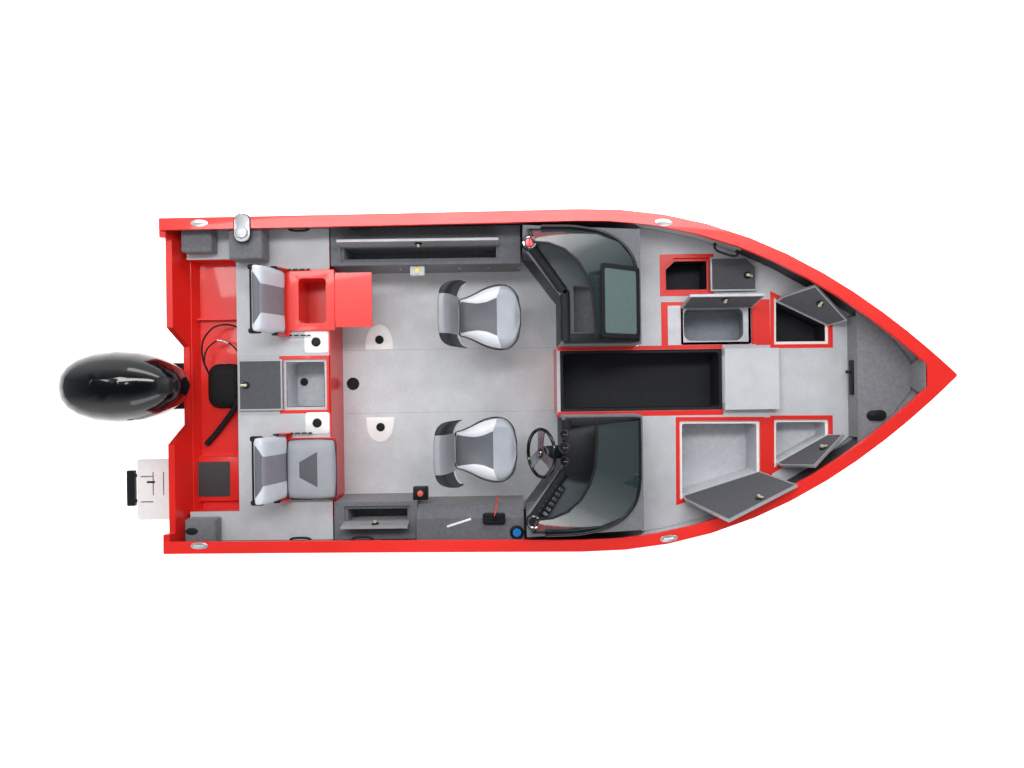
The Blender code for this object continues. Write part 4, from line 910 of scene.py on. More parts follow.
@dataclass
class CadFinishes:
    """Finishes of the CAD nodes that keep their own shape."""

    groups: tuple[tuple[Finish, tuple[str, ...]], ...] = (
        (RED_GLOSS, ("gunwale_cap", "splash_well", *RED_BOXES)),
        (HULL_RED, ("hull_shell",)),
        (DECK_VINYL, ("bow_deck", "aft_deck", *LEAVES)),
        # The cockpit floor takes the lighter copy of the deck vinyl: painted light.
        (LIT_FLOOR_VINYL, ("cockpit_floor",)),
        (DARK_CARPET, (*SIDE_BOXES, "console_port", "console_stbd")),
        (MID_CARPET, ("anchor_deck",)),
        (LID_LINER, ("aft_livewell_lid", "tray_hatch_lid", "bow_livewell_lid", "bow_bin_port_lid",
                     "bow_bin_stbd_aft_lid", "bow_bin_stbd_fwd_lid")),
        (LID_STRIP, ("side_box_lid_port", "side_box_lid_stbd")),
        (LINER, ("bow_livewell_tub",)),
        (LINER_RIM, ("aft_livewell_tub", "bow_bin_stbd_aft_tub", "bow_bin_stbd_fwd_tub")),
        # The deep rod locker, tray and port bin tubs get the liner darkened into painted shade.
        (SHADED_BIN_LINER, ("rod_locker_tub", "tray_hatch_tub", "bow_bin_port_tub")),
        (GLOSS_BLACK, ("outboard_leg", "outboard_cowl", "propeller")),
        (SMOKED, ("windshield_glass_port", "windshield_glass_stbd")),
        (ENGINE_GREY, ("power_head",)),
        (PLATFORM, ("swim_platform",)))
    other: Finish = SATIN_BLACK
    flat: tuple[str, ...] = ("cockpit_floor", "bow_deck", "aft_deck", "anchor_deck", *LEAVES)
    bevels: tuple[str, ...] = ("gunwale_cap", *SIDE_BOXES, *RED_BOXES)
    edge_radius: float = 0.004
    edge_angle: float = 40.0
    weld_within: float = 0.00002
    # The dark lining bands are partly the real side-lining and partly painted shade under the rails.
    linings: tuple[tuple[float, Finish], ...] = ((-2.58, SHADED_HULL_LINING), (0.62, DECK_VINYL),
                                                 (1.40, SHADED_HULL_LINING), (2.20, MID_CARPET))

    def apply(self) -> None:
        """Weld, smooth and paint every CAD node."""
        finishes = {name: finish for finish, names in self.groups for name in names}
        group = smooth_group()
        for name, piece in FRAME["nodes"].items():
            finish = finishes.get(name, self.other)
            piece.data.materials.clear()
            piece.data.materials.append(PAINTS.get(finish))
            weld = piece.modifiers.new("weld", "WELD")
            weld.merge_threshold = self.weld_within
            if name in self.bevels:
                bevel = piece.modifiers.new("soft_edges", "BEVEL")
                bevel.width = self.edge_radius
                bevel.segments = 2
                bevel.limit_method = "ANGLE"
                bevel.angle_limit = math.radians(self.edge_angle)
            if name == "hull_shell":
                piece.modifiers.new("lining", "NODES").node_group = lining_group(self.linings)
            if name in self.flat:
                continue
            shade = piece.modifiers.new("smooth", "NODES")
            shade.node_group = group
            normals = piece.modifiers.new("even_shading", "WEIGHTED_NORMAL")
            normals.keep_sharp = True


# Hatches


@dataclass(frozen=True)
class Hatch:
    """An opening in a deck: its corners, its lid's joint and body, and how the lid is finished."""

    name: str
    outline: Outline
    body: str = ""
    joint: str = ""
    top: float = DECK_Z
    surround: float = 0.028
    gasket: Optional[Finish] = WHITE_TRIM
    latch_at: Optional[Flat] = None
    clipped: Optional[tuple[int, float, float]] = None
    edge: float = 0.011
    frame: Outline = ()


HATCHES = (
    Hatch("aft_livewell", tuple(rect(-1.966, -1.640, -0.190, 0.187)), "aft_livewell_lid",
          "aft_livewell_hinge", surround=0.024, gasket=LINER_RIM, latch_at=(-1.70, -0.0015)),
    Hatch("tray_hatch", ((0.852, 0.640), (1.196, 0.640), (1.196, 0.893), (0.930, 0.893), (0.852, 0.820)),
          "tray_lid", "tray_lid_hinge", gasket=RED_GLOSS, latch_at=(0.925, 0.755),
          frame=((0.824, 0.612), (1.224, 0.612), (1.224, 0.921), (0.828, 0.921), (0.824, 0.917))),
    Hatch("bow_livewell", tuple(rect(0.975, 1.500, 0.250, 0.543)), "bow_livewell_lid", "bow_livewell_hinge",
          gasket=LINER_RIM, latch_at=(1.2375, 0.315), frame=tuple(rect(0.878, 1.526, 0.2495, 0.569))),
    Hatch("bow_bin_port", ((1.660, 0.246), (2.066, 0.244), (2.066, 0.398), (1.664, 0.596)), "bin_lid_port",
          "bin_hinge_port", latch_at=(1.83, 0.315), clipped=(3, 0.024, 0.075)),
    Hatch("bow_bin_stbd_aft", ((0.950, -0.892), (1.546, -0.710), (1.550, -0.314), (0.955, -0.308)),
          "bin_lid_stbd_aft", "bin_hinge_stbd_aft", latch_at=(1.27, -0.375), clipped=(0, 0.075, 0.024)),
    Hatch("bow_bin_stbd_fwd", ((1.648, -0.666), (2.057, -0.444), (2.057, -0.310), (1.652, -0.306)),
          "bin_lid_stbd_fwd", "bin_hinge_stbd_fwd", latch_at=(1.87, -0.37), clipped=(0, 0.075, 0.024)),
    Hatch("side_box_port", tuple(rect(-1.522, -0.358, 0.893, 1.027)), "side_lid_port", "side_lid_hinge_port",
          top=BOX_Z, surround=0.0, gasket=None, latch_at=(-0.94, 0.946), edge=0.008),
    Hatch("side_box_stbd", tuple(rect(-1.522, -1.038, -1.037, -0.903)), "side_lid_stbd",
          "side_lid_hinge_stbd", top=BOX_Z, surround=0.0, gasket=None, latch_at=(-1.28, -0.956), edge=0.008),
)


@dataclass
class HatchTrim:
    """Painted surrounds, gaskets, lid edges and latches of the hatches."""

    lid_thick: float = 0.0195
    play: float = 0.002
    ledge: float = 0.022
    deck_thick: float = 0.02
    cam_reach: float = 0.038
    short_cam_reach: float = 0.020
    narrow_edge: float = 0.009

    def lid_outline(self, hatch: Hatch, inside: float) -> list[Flat]:
        """Outline of a hatch's lid, moved in.

        Args:
            hatch: The hatch.
            inside: Distance from the lid's rim, inwards.

        Returns:
            Its corners.
        """
        outline = grown(hatch.outline, -self.play)
        if hatch.clipped:
            corner, before, after = hatch.clipped
            here = Vector(outline[corner])
            back = (Vector(outline[corner - 1]) - here).normalized()
            ahead = (Vector(outline[(corner + 1) % len(outline)]) - here).normalized()
            outline[corner:corner + 1] = [tuple(here + back * before), tuple(here + ahead * after)]
        return grown(outline, -inside)

    def surround(self, hatch: Hatch) -> None:
        """Red painted frame round the opening and the gasket on its ledge.

        Args:
            hatch: The hatch.
        """
        if hatch.surround:
            bm = bmesh.new()
            outer = hatch.frame or grown(hatch.outline, hatch.surround)
            add_ring(bm, outer, grown(hatch.outline, 0.0005), hatch.top - 0.0002, hatch.top + PROUD)
            inner = grown(hatch.outline, -0.0004)
            add_ring(bm, grown(hatch.outline, 0.0006), inner, hatch.top - self.deck_thick, hatch.top + PROUD)
            trim(f"{hatch.name}_surround", bm, RED_GLOSS)
        if hatch.gasket:
            bm = bmesh.new()
            low = hatch.top - self.deck_thick - 0.0003 - 0.0001
            inner = grown(hatch.outline, -self.ledge + 0.001)
            add_ring(bm, grown(hatch.outline, 0.0), inner, low, low + 0.0004)
            trim(f"{hatch.name}_gasket", bm, hatch.gasket)

    def lid_edge(self, hatch: Hatch) -> None:
        """Bright folded edge that shows round the open lid.

        Args:
            hatch: The hatch.
        """
        under = hatch.top - self.lid_thick
        foot = under - 0.0002 if hatch.surround else under + 0.0001
        bm = bmesh.new()
        rim = self.lid_outline(hatch, -0.0005)
        add_ring(bm, rim, self.lid_outline(hatch, 0.0002), foot, hatch.top - 0.001)
        add_ring(bm, rim, self.lid_outline(hatch, hatch.edge), foot, under + 0.0002)
        piece = mesh_piece(f"{hatch.name}_lid_edge", bm)
        piece.data.transform(closed_to_rest(hatch.joint))
        settle(piece, EDGE, hatch.body)

    def latch(self, hatch: Hatch) -> None:
        """Lift latch: a flush pull in the lid and its cam under it.

        Args:
            hatch: The hatch.
        """
        x, y = hatch.latch_at
        under = hatch.top - self.lid_thick
        centre = sum((Vector(c) for c in hatch.outline), Vector((0, 0))) / len(hatch.outline)
        towards = (Vector((x, y)) - centre).normalized()
        turn = Matrix.Rotation(math.atan2(towards.y, towards.x), 4, "Z")
        place = Matrix.Translation((x, y, 0)) @ turn
        body = bmesh.new()
        add_turned(body, [(0.026, under + 0.0002), (0.026, under - 0.006), (0.020, under - 0.011),
                          (0.0, under - 0.012)][::-1], Matrix.Identity(4))
        face = hatch.top - 0.0004
        add_turned(body, [(0.0, face), (0.027, face), (0.030, hatch.top - 0.0001)], Matrix.Identity(4))
        cam = bmesh.new()
        reach = self.cam_reach if hatch.edge > self.narrow_edge else self.short_cam_reach
        add_box(cam, (-0.012, -0.009, under - 0.022), (reach, 0.009, under - 0.013), 0.003)
        foot = under - 0.028
        add_turned(cam, [(0.0, foot), (0.011, foot), (0.011, under - 0.008)], Matrix.Identity(4))
        for bm, word, finish in ((body, "latch", SATIN_BLACK), (cam, "latch_cam", LATCH_METAL)):
            piece = mesh_piece(f"{hatch.name}_{word}", bm)
            piece.data.transform(closed_to_rest(hatch.joint) @ place)
            settle(piece, finish, hatch.body)

    def build(self) -> None:
        """Make the trim of every hatch."""
        for hatch in HATCHES:
            self.surround(hatch)
            if hatch.joint:
                self.lid_edge(hatch)
                self.latch(hatch)


@dataclass
class BowDeck:
    """Painted coamings, livewell plate and fittings of the bow deck."""

    locker: Quad = (0.080, 1.279, -0.230, 0.220)
    strips: Outline = ((-0.268, -0.2312), (0.2212, 0.249))
    bands: tuple[tuple[float, float, float, float, float], ...] = (
        (1.5265, 1.632, 0.243, 0.58, PROUD),
        (1.566, 1.632, -0.745, -0.29, PROUD * 1.6))
    bowl: Quad = (1.000, 1.442, 0.280, 0.528)
    bowl_corner: float = 0.07
    well: Quad = (0.9765, 1.4985, 0.2515, 0.5415)
    well_half: Flat = (0.2600, 0.1440)
    well_drop: float = 0.0203
    aft_well: Quad = (-1.9435, -1.6625, -0.1675, 0.1645)
    aft_drain: Point = (-1.893, 0.02, 0.166)
    fitting: Outline = ((2.28, -0.315), (2.365, -0.320), (2.392, -0.305), (2.40, -0.28), (2.392, -0.255),
                        (2.365, -0.24), (2.28, -0.245), (2.262, -0.262), (2.258, -0.28), (2.262, -0.298))
    nose_x: Flat = (2.574, 2.5785)
    nose_top: float = 0.84
    nose_half: Flat = (0.075, 0.150)

    def coamings(self) -> None:
        """Red strips along both sides of the rod locker and round the livewell."""
        x0, x1, y0, y1 = self.locker
        bm = bmesh.new()
        for low, high in self.strips:
            add_box(bm, (x0 - 0.02, low, DECK_Z - 0.0002), (1.28, high, DECK_Z + PROUD * 1.6))
        for side, wall in ((1, y1), (-1, y0)):
            low, high = sorted((wall, wall - side * 0.001))
            add_box(bm, (x0 + 0.001, low, DECK_Z - 0.0195), (x1 - 0.001, high, DECK_Z + PROUD))
        add_box(bm, (x0 - 0.0245, y0 - 0.012, FLOOR_Z + 0.002), (x0 - 0.0255, y1 + 0.022, DECK_Z + PROUD))
        trim("rod_locker_coaming", bm, RED_GLOSS)
        bm = bmesh.new()
        for x0, x1, y0, y1, proud in self.bands:
            add_box(bm, (x0, y0, DECK_Z - 0.0002), (x1, y1, DECK_Z + proud))
        trim("bow_deck_painted_bands", bm, RED_GLOSS)

    def livewell_plate(self) -> None:
        """Light plate round the bow livewell's rounded mouth, and the deck's paint aft of it."""
        x0, x1, y0, y1 = self.bowl
        mouth = rounded(rect(x0, x1, y0, y1), self.bowl_corner, 8)
        centre = Vector(((x0 + x1) / 2, (y0 + y1) / 2))
        x0, x1, y0, y1 = self.well
        middle = Vector(((x0 + x1) / 2, (y0 + y1) / 2))
        half_x, half_y = self.well_half
        outer = []
        for x, y in mouth:
            away = Vector((x, y)) - centre
            reach = min(half_x / max(abs(away.x), 1e-6), half_y / max(abs(away.y), 1e-6))
            outer.append(tuple(middle + away * reach))
        bm = bmesh.new()
        level = DECK_Z - self.well_drop
        add_ring(bm, outer, mouth, level, level + 0.0003)
        trim("bow_livewell_plate", bm, LINER_RIM)
        bm = bmesh.new()
        add_box(bm, (0.879, 0.2515, DECK_Z), (0.9735, 0.5415, DECK_Z + PROUD * 2.5))
        trim("bow_livewell_apron", bm, LINER_RIM)
        bm = bmesh.new()
        add_box(bm, (0.830, 0.2495, DECK_Z), (0.8775, 0.569, DECK_Z + PROUD * 2))
        trim("bow_livewell_painted_band", bm, RED_GLOSS)
        bm = bmesh.new()
        lip = [Vector((x, y, level - 0.0034)) for x, y in mouth]
        add_tube(bm, lip, 0.0035, 8, closed=True)
        trim("bow_livewell_lip", bm, LINER)

    def aft_livewell(self) -> None:
        """Drain and dark gasket line of the aft livewell."""
        bm = bmesh.new()
        add_turned(bm, [(0.030, 0.0), (0.030, 0.006), (0.0, 0.008)], stand(self.aft_drain))
        inner = rect(*self.aft_well)
        add_ring(bm, inner, grown(inner, -0.004), DECK_Z - 0.0206, DECK_Z - 0.0199)
        trim("aft_livewell_drain", bm, SATIN_BLACK)

    def anchor_face(self) -> None:
        """Black pull slot and knob in the anchor deck's aft face, and a D-shaped fitting on its top."""
        bm = bmesh.new()
        add_box(bm, (2.186, -0.13, 0.525), (2.1998, 0.12, 0.585), 0.004)
        knob = [(0.010, 0.0), (0.008, 0.020), (0.014, 0.026), (0.011, 0.034), (0.0, 0.034)]
        add_turned(bm, knob, stand((2.187, 0.035, 0.555), (-1, 0, 0.1)))
        trim("anchor_locker_pull", bm, SATIN_BLACK)
        bm = bmesh.new()
        top = ANCHOR_Z + 0.010
        add_slab(bm, rounded(self.fitting, 0.01, 3), ANCHOR_Z, top, 0.003)
        add_slab(bm, rounded(grown(self.fitting, -0.022), 0.008, 3), top, ANCHOR_Z + 0.014, 0.0015)
        trim("bow_plug_cover", bm, SATIN_BLACK)
        bm = bmesh.new()
        low, high = self.nose_half
        outline = [(-self.nose_top, -high), (-self.nose_top, high), (-ANCHOR_Z, low), (-ANCHOR_Z, -low)]
        add_slab(bm, outline, *self.nose_x)
        bm.transform(Matrix.Rotation(math.pi / 2, 4, "Y"))
        trim("nose_carpet", bm, MID_CARPET)

    def build(self) -> None:
        """Make the bow deck's trim."""
        self.coamings()
        self.livewell_plate()
        self.aft_livewell()
        self.anchor_face()


@dataclass
class AftDeck:
    """Red front face, plates and sockets, seams and carpeted pods of the aft deck."""

    front: float = -1.61
    face_half: float = 1.03
    strip_half: float = 0.86
    socket_x: Flat = (-1.801, -1.627)
    socket_y: Flat = (0.311, -0.286)
    socket_half: float = 0.079
    bush_x: float = -1.715
    plate_rise: float = 0.0045
    floor_plate: Quad = (-1.3215, 0.1085, 0.268, 0.197)
    floor_bush: Flat = (-1.318, 0.345)
    boxes: tuple[tuple[str, float, float, float, float, float], ...] = (
        ("rod_pod_carpet", -2.2865, -2.0485, 0.8985, 1.150, 0.6568),
        ("quarter_pod_carpet_port", -2.6515, -2.4285, 0.9635, 1.150, 0.6018),
        ("quarter_pod_carpet_stbd", -2.6515, -2.4285, -1.150, -0.9635, 0.6018))
    bracket: Quad = (-2.224, -2.117, 1.015, 1.206)
    holder_at: Flat = (-2.170, 1.078)
    speaker_at: Flat = (-2.600, -1.050)
    speaker_half: Flat = (0.045, 0.026)

    def face(self) -> None:
        """Red painted front face and the narrow painted strip over it."""
        bm = bmesh.new()
        for x, half, low in ((self.front, self.face_half, FLOOR_Z + 0.002),
                             (self.front - 0.012, self.strip_half, DECK_Z - 0.0002)):
            add_box(bm, (x, -half, low), (self.front + 0.001, half, DECK_Z + PROUD))
        trim("aft_deck_face", bm, RED_GLOSS)
        bm = bmesh.new()
        place = stand((self.front + 0.001, 0.0, 0.30), (1, 0, 0))
        add_turned(bm, [(0.05, 0.0), (0.045, 0.004), (0.0, 0.004)], place)
        trim("aft_drain_cover", bm, RED_GLOSS)

    def sockets(self) -> None:
        """Seat base sockets: white plates with black bushings, on the deck and the floor."""
        plates, bushes = bmesh.new(), bmesh.new()
        rise = self.plate_rise
        for y in self.socket_y:
            outline = rect(*self.socket_x, y - self.socket_half, y + self.socket_half)
            add_slab(plates, rounded(outline, 0.022, 4), DECK_Z, DECK_Z + rise, 0.0008)
            self.bush(bushes, (self.bush_x, y, DECK_Z + rise))
        x, half, inner, deep = self.floor_plate
        for side in (1, -1):
            arc = []
            for i in range(21):
                a = math.pi * i / 20
                arc.append((x + half * math.cos(a), side * (inner + deep * math.sin(a) ** 0.8)))
            outline = arc if side > 0 else arc[::-1]
            add_slab(plates, grown(outline, 0.0012), FLOOR_Z, FLOOR_Z + rise, 0.0008)
            self.bush(bushes, (self.floor_bush[0], side * self.floor_bush[1], FLOOR_Z + rise))
        trim("seat_base_plates", plates, WHITE_TRIM)
        trim("seat_base_bushings", bushes, SATIN_BLACK)
        bm = bmesh.new()
        rim = [(0.050, 0.0), (0.046, 0.004), (0.034, 0.004), (0.030, 0.001), (0.0, 0.001)]
        add_turned(bm, rim, stand((-1.532, 0.0, FLOOR_Z)))
        trim("floor_deck_plate", bm, SATIN_BLACK)

    @staticmethod
    def bush(bm: BMesh, at: Point) -> None:
        """Black bushing with a recessed bore.

        Args:
            bm: Where it goes.
            at: Middle of its foot.
        """
        profile = [(0.034, 0.0), (0.034, 0.004), (0.030, 0.006), (0.022, 0.006), (0.019, 0.002), (0.0, 0.002)]
        add_turned(bm, profile, stand(at))

    def pods(self) -> None:
        """Carpet over the three pods, with the bracket, cap and speaker on them."""
        for name, x0, x1, y0, y1, top in self.boxes:
            bm = bmesh.new()
            add_box(bm, (x0, y0, DECK_Z), (x1, y1, top), 0.016, 3)
            trim(name, bm, DARK_CARPET)
        rest = top_of("gunwale_cap", -2.17, 1.17) + 0.001
        plate = rounded(rect(*self.bracket), 0.050, 8)
        for grow, low, high, finish, name in ((0.007, rest - 0.012, rest, SATIN_BLACK, "rod_holder_gasket"),
                                              (0.0, rest, rest + 0.008, BRACKET, "rod_holder_bracket")):
            bm = bmesh.new()
            add_slab(bm, grown(plate, grow), low, high, 0.002)
            if finish is BRACKET:
                add_turned(bm, [(0.044, 0.0), (0.044, 0.012), (0.036, 0.020), (0.024, 0.021), (0.022, 0.026),
                                (0.0, 0.027)], stand((*self.holder_at, high)))
            trim(name, bm, finish)
        bm = bmesh.new()
        (x, y), (wide, deep) = self.speaker_at, self.speaker_half
        outline = [(x + wide * math.cos(a * math.pi / 10), y + deep * math.sin(a * math.pi / 10))
                   for a in range(20)]
        add_slab(bm, outline, 0.6015, 0.6045, 0.001)
        trim("quarter_speaker", bm, SATIN_BLACK)

    def build(self) -> None:
        """Make the aft deck's trim."""
        self.face()
        self.sockets()
        self.pods()


@dataclass
class SplashWell:
    """Battery hatch with its mat, rigging boot, hose and cables in the splash well."""

    mat: Quad = (-2.672, -2.415, -0.838, -0.575)
    hatch: Quad = (-2.690, -2.345, -0.872, -0.535)
    level: float = 0.30
    rise: float = 0.045
    boot_foot: Quad = (-2.585, -2.312, -0.175, 0.165)
    boot_rings: Outline = ((0.30, 0.0), (0.315, -0.004), (0.345, -0.03), (0.362, -0.055), (0.366, -0.09))
    hose: tuple[Point, ...] = ((-2.345, -0.10, 0.352), (-2.37, -0.17, 0.352), (-2.44, -0.26, 0.330),
                               (-2.53, -0.37, 0.322), (-2.60, -0.445, 0.322))
    hose_r: float = 0.021
    cables: tuple[tuple[float, tuple[Point, ...]], ...] = (
        (0.0065, ((-2.56, 0.10, 0.362), (-2.585, 0.20, 0.40), (-2.575, 0.33, 0.42), (-2.50, 0.43, 0.415),
                  (-2.40, 0.455, 0.39), (-2.325, 0.42, 0.352), (-2.312, 0.33, 0.325))),
        (0.0055, ((-2.55, 0.07, 0.364), (-2.575, 0.17, 0.395), (-2.55, 0.27, 0.41), (-2.47, 0.335, 0.405),
                  (-2.39, 0.315, 0.385), (-2.335, 0.245, 0.355), (-2.33, 0.17, 0.335))))
    connector: tuple[Point, ...] = ((-2.475, 0.337, 0.4055), (-2.44, 0.332, 0.400), (-2.40, 0.318, 0.388))
    connector_r: float = 0.0085

    def stepping_mat(self) -> None:
        """Red battery hatch in the starboard bay and the dark stepping mat on it."""
        bm = bmesh.new()
        add_slab(bm, rounded(rect(*self.hatch), 0.006, 2), self.level, self.level + self.rise, 0.003)
        trim("battery_hatch", bm, RED_GLOSS)
        bm = bmesh.new()
        top = self.level + self.rise
        add_slab(bm, rounded(rect(*self.mat), 0.012, 4), top, top + 0.004, 0.001)
        trim("splash_well_mat", bm, TREAD_BLACK)

    def boot(self) -> None:
        """Rigging boot: a low rubber dome that the cables go through."""
        bm = bmesh.new()
        rings = []
        for z, grow in self.boot_rings:
            outline = rounded(grown(rect(*self.boot_foot), grow), 0.10 + grow * 0.4, 6)
            rings.append([bm.verts.new((x, y, z)) for x, y in outline])
        bridge(bm, rings)
        bm.faces.new(rings[-1])
        trim("rigging_boot", bm, RUBBER, angle=50)

    def hoses(self) -> None:
        """Fuel hose and control cables inside the well."""
        bm = bmesh.new()
        add_tube(bm, curve_through(self.hose, 8), self.hose_r, 14)
        trim("fuel_hose", bm, RUBBER, angle=60)
        bm = bmesh.new()
        for radius, route in self.cables:
            add_tube(bm, curve_through(route, 8), radius, 10)
        trim("control_cables", bm, RUBBER, angle=60)
        bm = bmesh.new()
        add_tube(bm, curve_through(self.connector, 4), self.connector_r, 12)
        trim("cable_connector", bm, STEEL, angle=60)

    def build(self) -> None:
        """Make the well's fittings."""
        self.stepping_mat()
        self.boot()
        self.hoses()


@dataclass
class Gunwales:
    """Cleats on the painted rails and grab handles under them."""

    cleats: Outline = ((-2.474, 1.150), (-2.505, -1.134), (0.801, 1.096), (0.806, -1.114))
    bow_turn: float = 0.12
    cleat_half: Flat = (0.063, 0.024)
    horns: tuple[Point, ...] = ((-0.036, 0, 0.007), (-0.015, 0, 0.009), (0.015, 0, 0.009), (0.036, 0, 0.007))
    handles: tuple[tuple[float, float, int], ...] = ((-1.79, 1.138, 1), (-1.345, 1.138, 1),
                                                     (-1.81, -1.138, -1), (-1.365, -1.138, -1))
    handle_half: float = 0.075
    handle_z: float = 0.628
    bow_handle: tuple[Point, Point] = ((1.185, 0.948, 0.66), (1.34, 0.895, 0.67))

    def cleat(self, bm: BMesh, x: float, y: float, turn: float) -> None:
        """Pop-up cleat: an oval plate with a low horned bar.

        Args:
            bm: Where it goes.
            x: Place along the boat.
            y: Place across the boat.
            turn: Turn about Z in radians.
        """
        z = top_of("gunwale_cap", x, y)
        place = Matrix.Translation((x, y, z)) @ Matrix.Rotation(turn, 4, "Z")
        part = bmesh.new()
        wide, deep = self.cleat_half
        oval = [(wide * math.cos(a * math.pi / 12), deep * math.sin(a * math.pi / 12)) for a in range(24)]
        add_slab(part, oval, 0.0, 0.004, 0.0012)
        add_tube(part, curve_through(self.horns, 4), 0.0042, 10)
        part.transform(place)
        mesh = bpy.data.meshes.new("cleat")
        part.to_mesh(mesh)
        part.free()
        bm.from_mesh(mesh)
        bpy.data.meshes.remove(mesh)

    def build(self) -> None:
        """Make the cleats and handles."""
        bm = bmesh.new()
        for x, y in self.cleats:
            turn = 0.0 if x < 0 else math.copysign(self.bow_turn, -y)
            self.cleat(bm, x, y, turn)
        trim("mooring_cleats", bm, BARE)
        bm = bmesh.new()
        for x, y, side in self.handles:
            half, z = self.handle_half, self.handle_z
            self.handle(bm, (x - half, y, z), (x + half, y, z), -side)
        self.handle(bm, *self.bow_handle, -1)
        trim("grab_handles", bm, SATIN_BLACK, angle=50)

    @staticmethod
    def handle(bm: BMesh, start: Point, end: Point, side: int) -> None:
        """Low grab handle bowed inboard between two feet.

        Args:
            bm: Where it goes.
            start: Aft foot.
            end: Forward foot.
            side: Which way it bows, as the sign of Y.
        """
        a, b = Vector(start), Vector(end)
        bow = Vector((0, side * 0.034, 0))
        back = Vector((0, -side * 0.02, 0.0))
        route = [a + back, a + bow * 0.5, a.lerp(b, 0.2) + bow, a.lerp(b, 0.8) + bow, b + bow * 0.5, b + back]
        add_tube(bm, curve_through(route, 5), 0.0085, 10)
        for foot in (a, b):
            add_turned(bm, [(0.016, 0.0), (0.016, 0.006), (0.012, 0.009), (0.0, 0.009)],
                       stand(foot + back * 0.6, (0, side, 0)), 16)


# Upholstery


class Panel(Enum):
    """Panels of a seat, in the order of its material slots."""

    CENTRE = 0
    BOLSTER = 1
    BAND = 2
    SHELL = 3


def warped(share: float, knot: float, to: float) -> float:
    """Shift a share so that a mesh line falls on a seam.

    Args:
        share: Share from 0 to 1.
        knot: Share of the mesh line.
        to: Where that line goes.

    Returns:
        The shifted share, with both ends kept.
    """
    if share <= knot:
        return share * to / knot
    return to + (share - knot) * (1 - to) / (1 - knot)


@dataclass
class Padding:
    """A stuffed form lofted through rings, with its panels as materials and sewn seams between them."""

    name: str
    rings: list[list[Vector]]
    panel_at: list[list[Panel]]
    finishes: tuple[Finish, Finish, Finish, Finish]
    seam_depth: float = 0.0022

    def build(self, body: str, replaces: Iterable[str] = (), fill: float = 0.9) -> bpy.types.Object:
        """Make the padded piece.

        Args:
            body: Body that it rides on.
            replaces: CAD nodes that it stands for.
            fill: How tight it is stuffed, up to 1; not used.

        Returns:
            The piece.
        """
        bm = bmesh.new()
        rows = [[bm.verts.new(p) for p in ring] for ring in self.rings]
        count = len(rows[0])
        for i, (low, high) in enumerate(zip(rows, rows[1:])):
            for j in range(count):
                k = (j + 1) % count
                face = bm.faces.new((low[j], low[k], high[k], high[j]))
                face.material_index = self.panel_at[i][j].value
        for row, near in ((rows[0], 0), (rows[-1], -1)):
            middle = bm.verts.new(sum((v.co for v in row), Vector()) / count)
            for j in range(count):
                face = bm.faces.new((row[j], row[(j + 1) % count], middle))
                face.material_index = self.panel_at[near][j].value
        bmesh.ops.recalc_face_normals(bm, faces=bm.faces)
        bm.normal_update()
        for vertex in bm.verts:
            if len({face.material_index for face in vertex.link_faces}) > 1:
                vertex.co -= vertex.normal * self.seam_depth
        mesh = bpy.data.meshes.new(self.name)
        bm.to_mesh(mesh)
        bm.free()
        mesh.shade_smooth()
        for finish in self.finishes:
            mesh.materials.append(PAINTS.get(finish))
        piece = bpy.data.objects.new(self.name, mesh)
        bpy.context.scene.collection.objects.link(piece)
        soften = piece.modifiers.new("soften", "SUBSURF")
        soften.levels = soften.render_levels = 1
        settle(piece, self.finishes[0], body, replaces)
        return piece


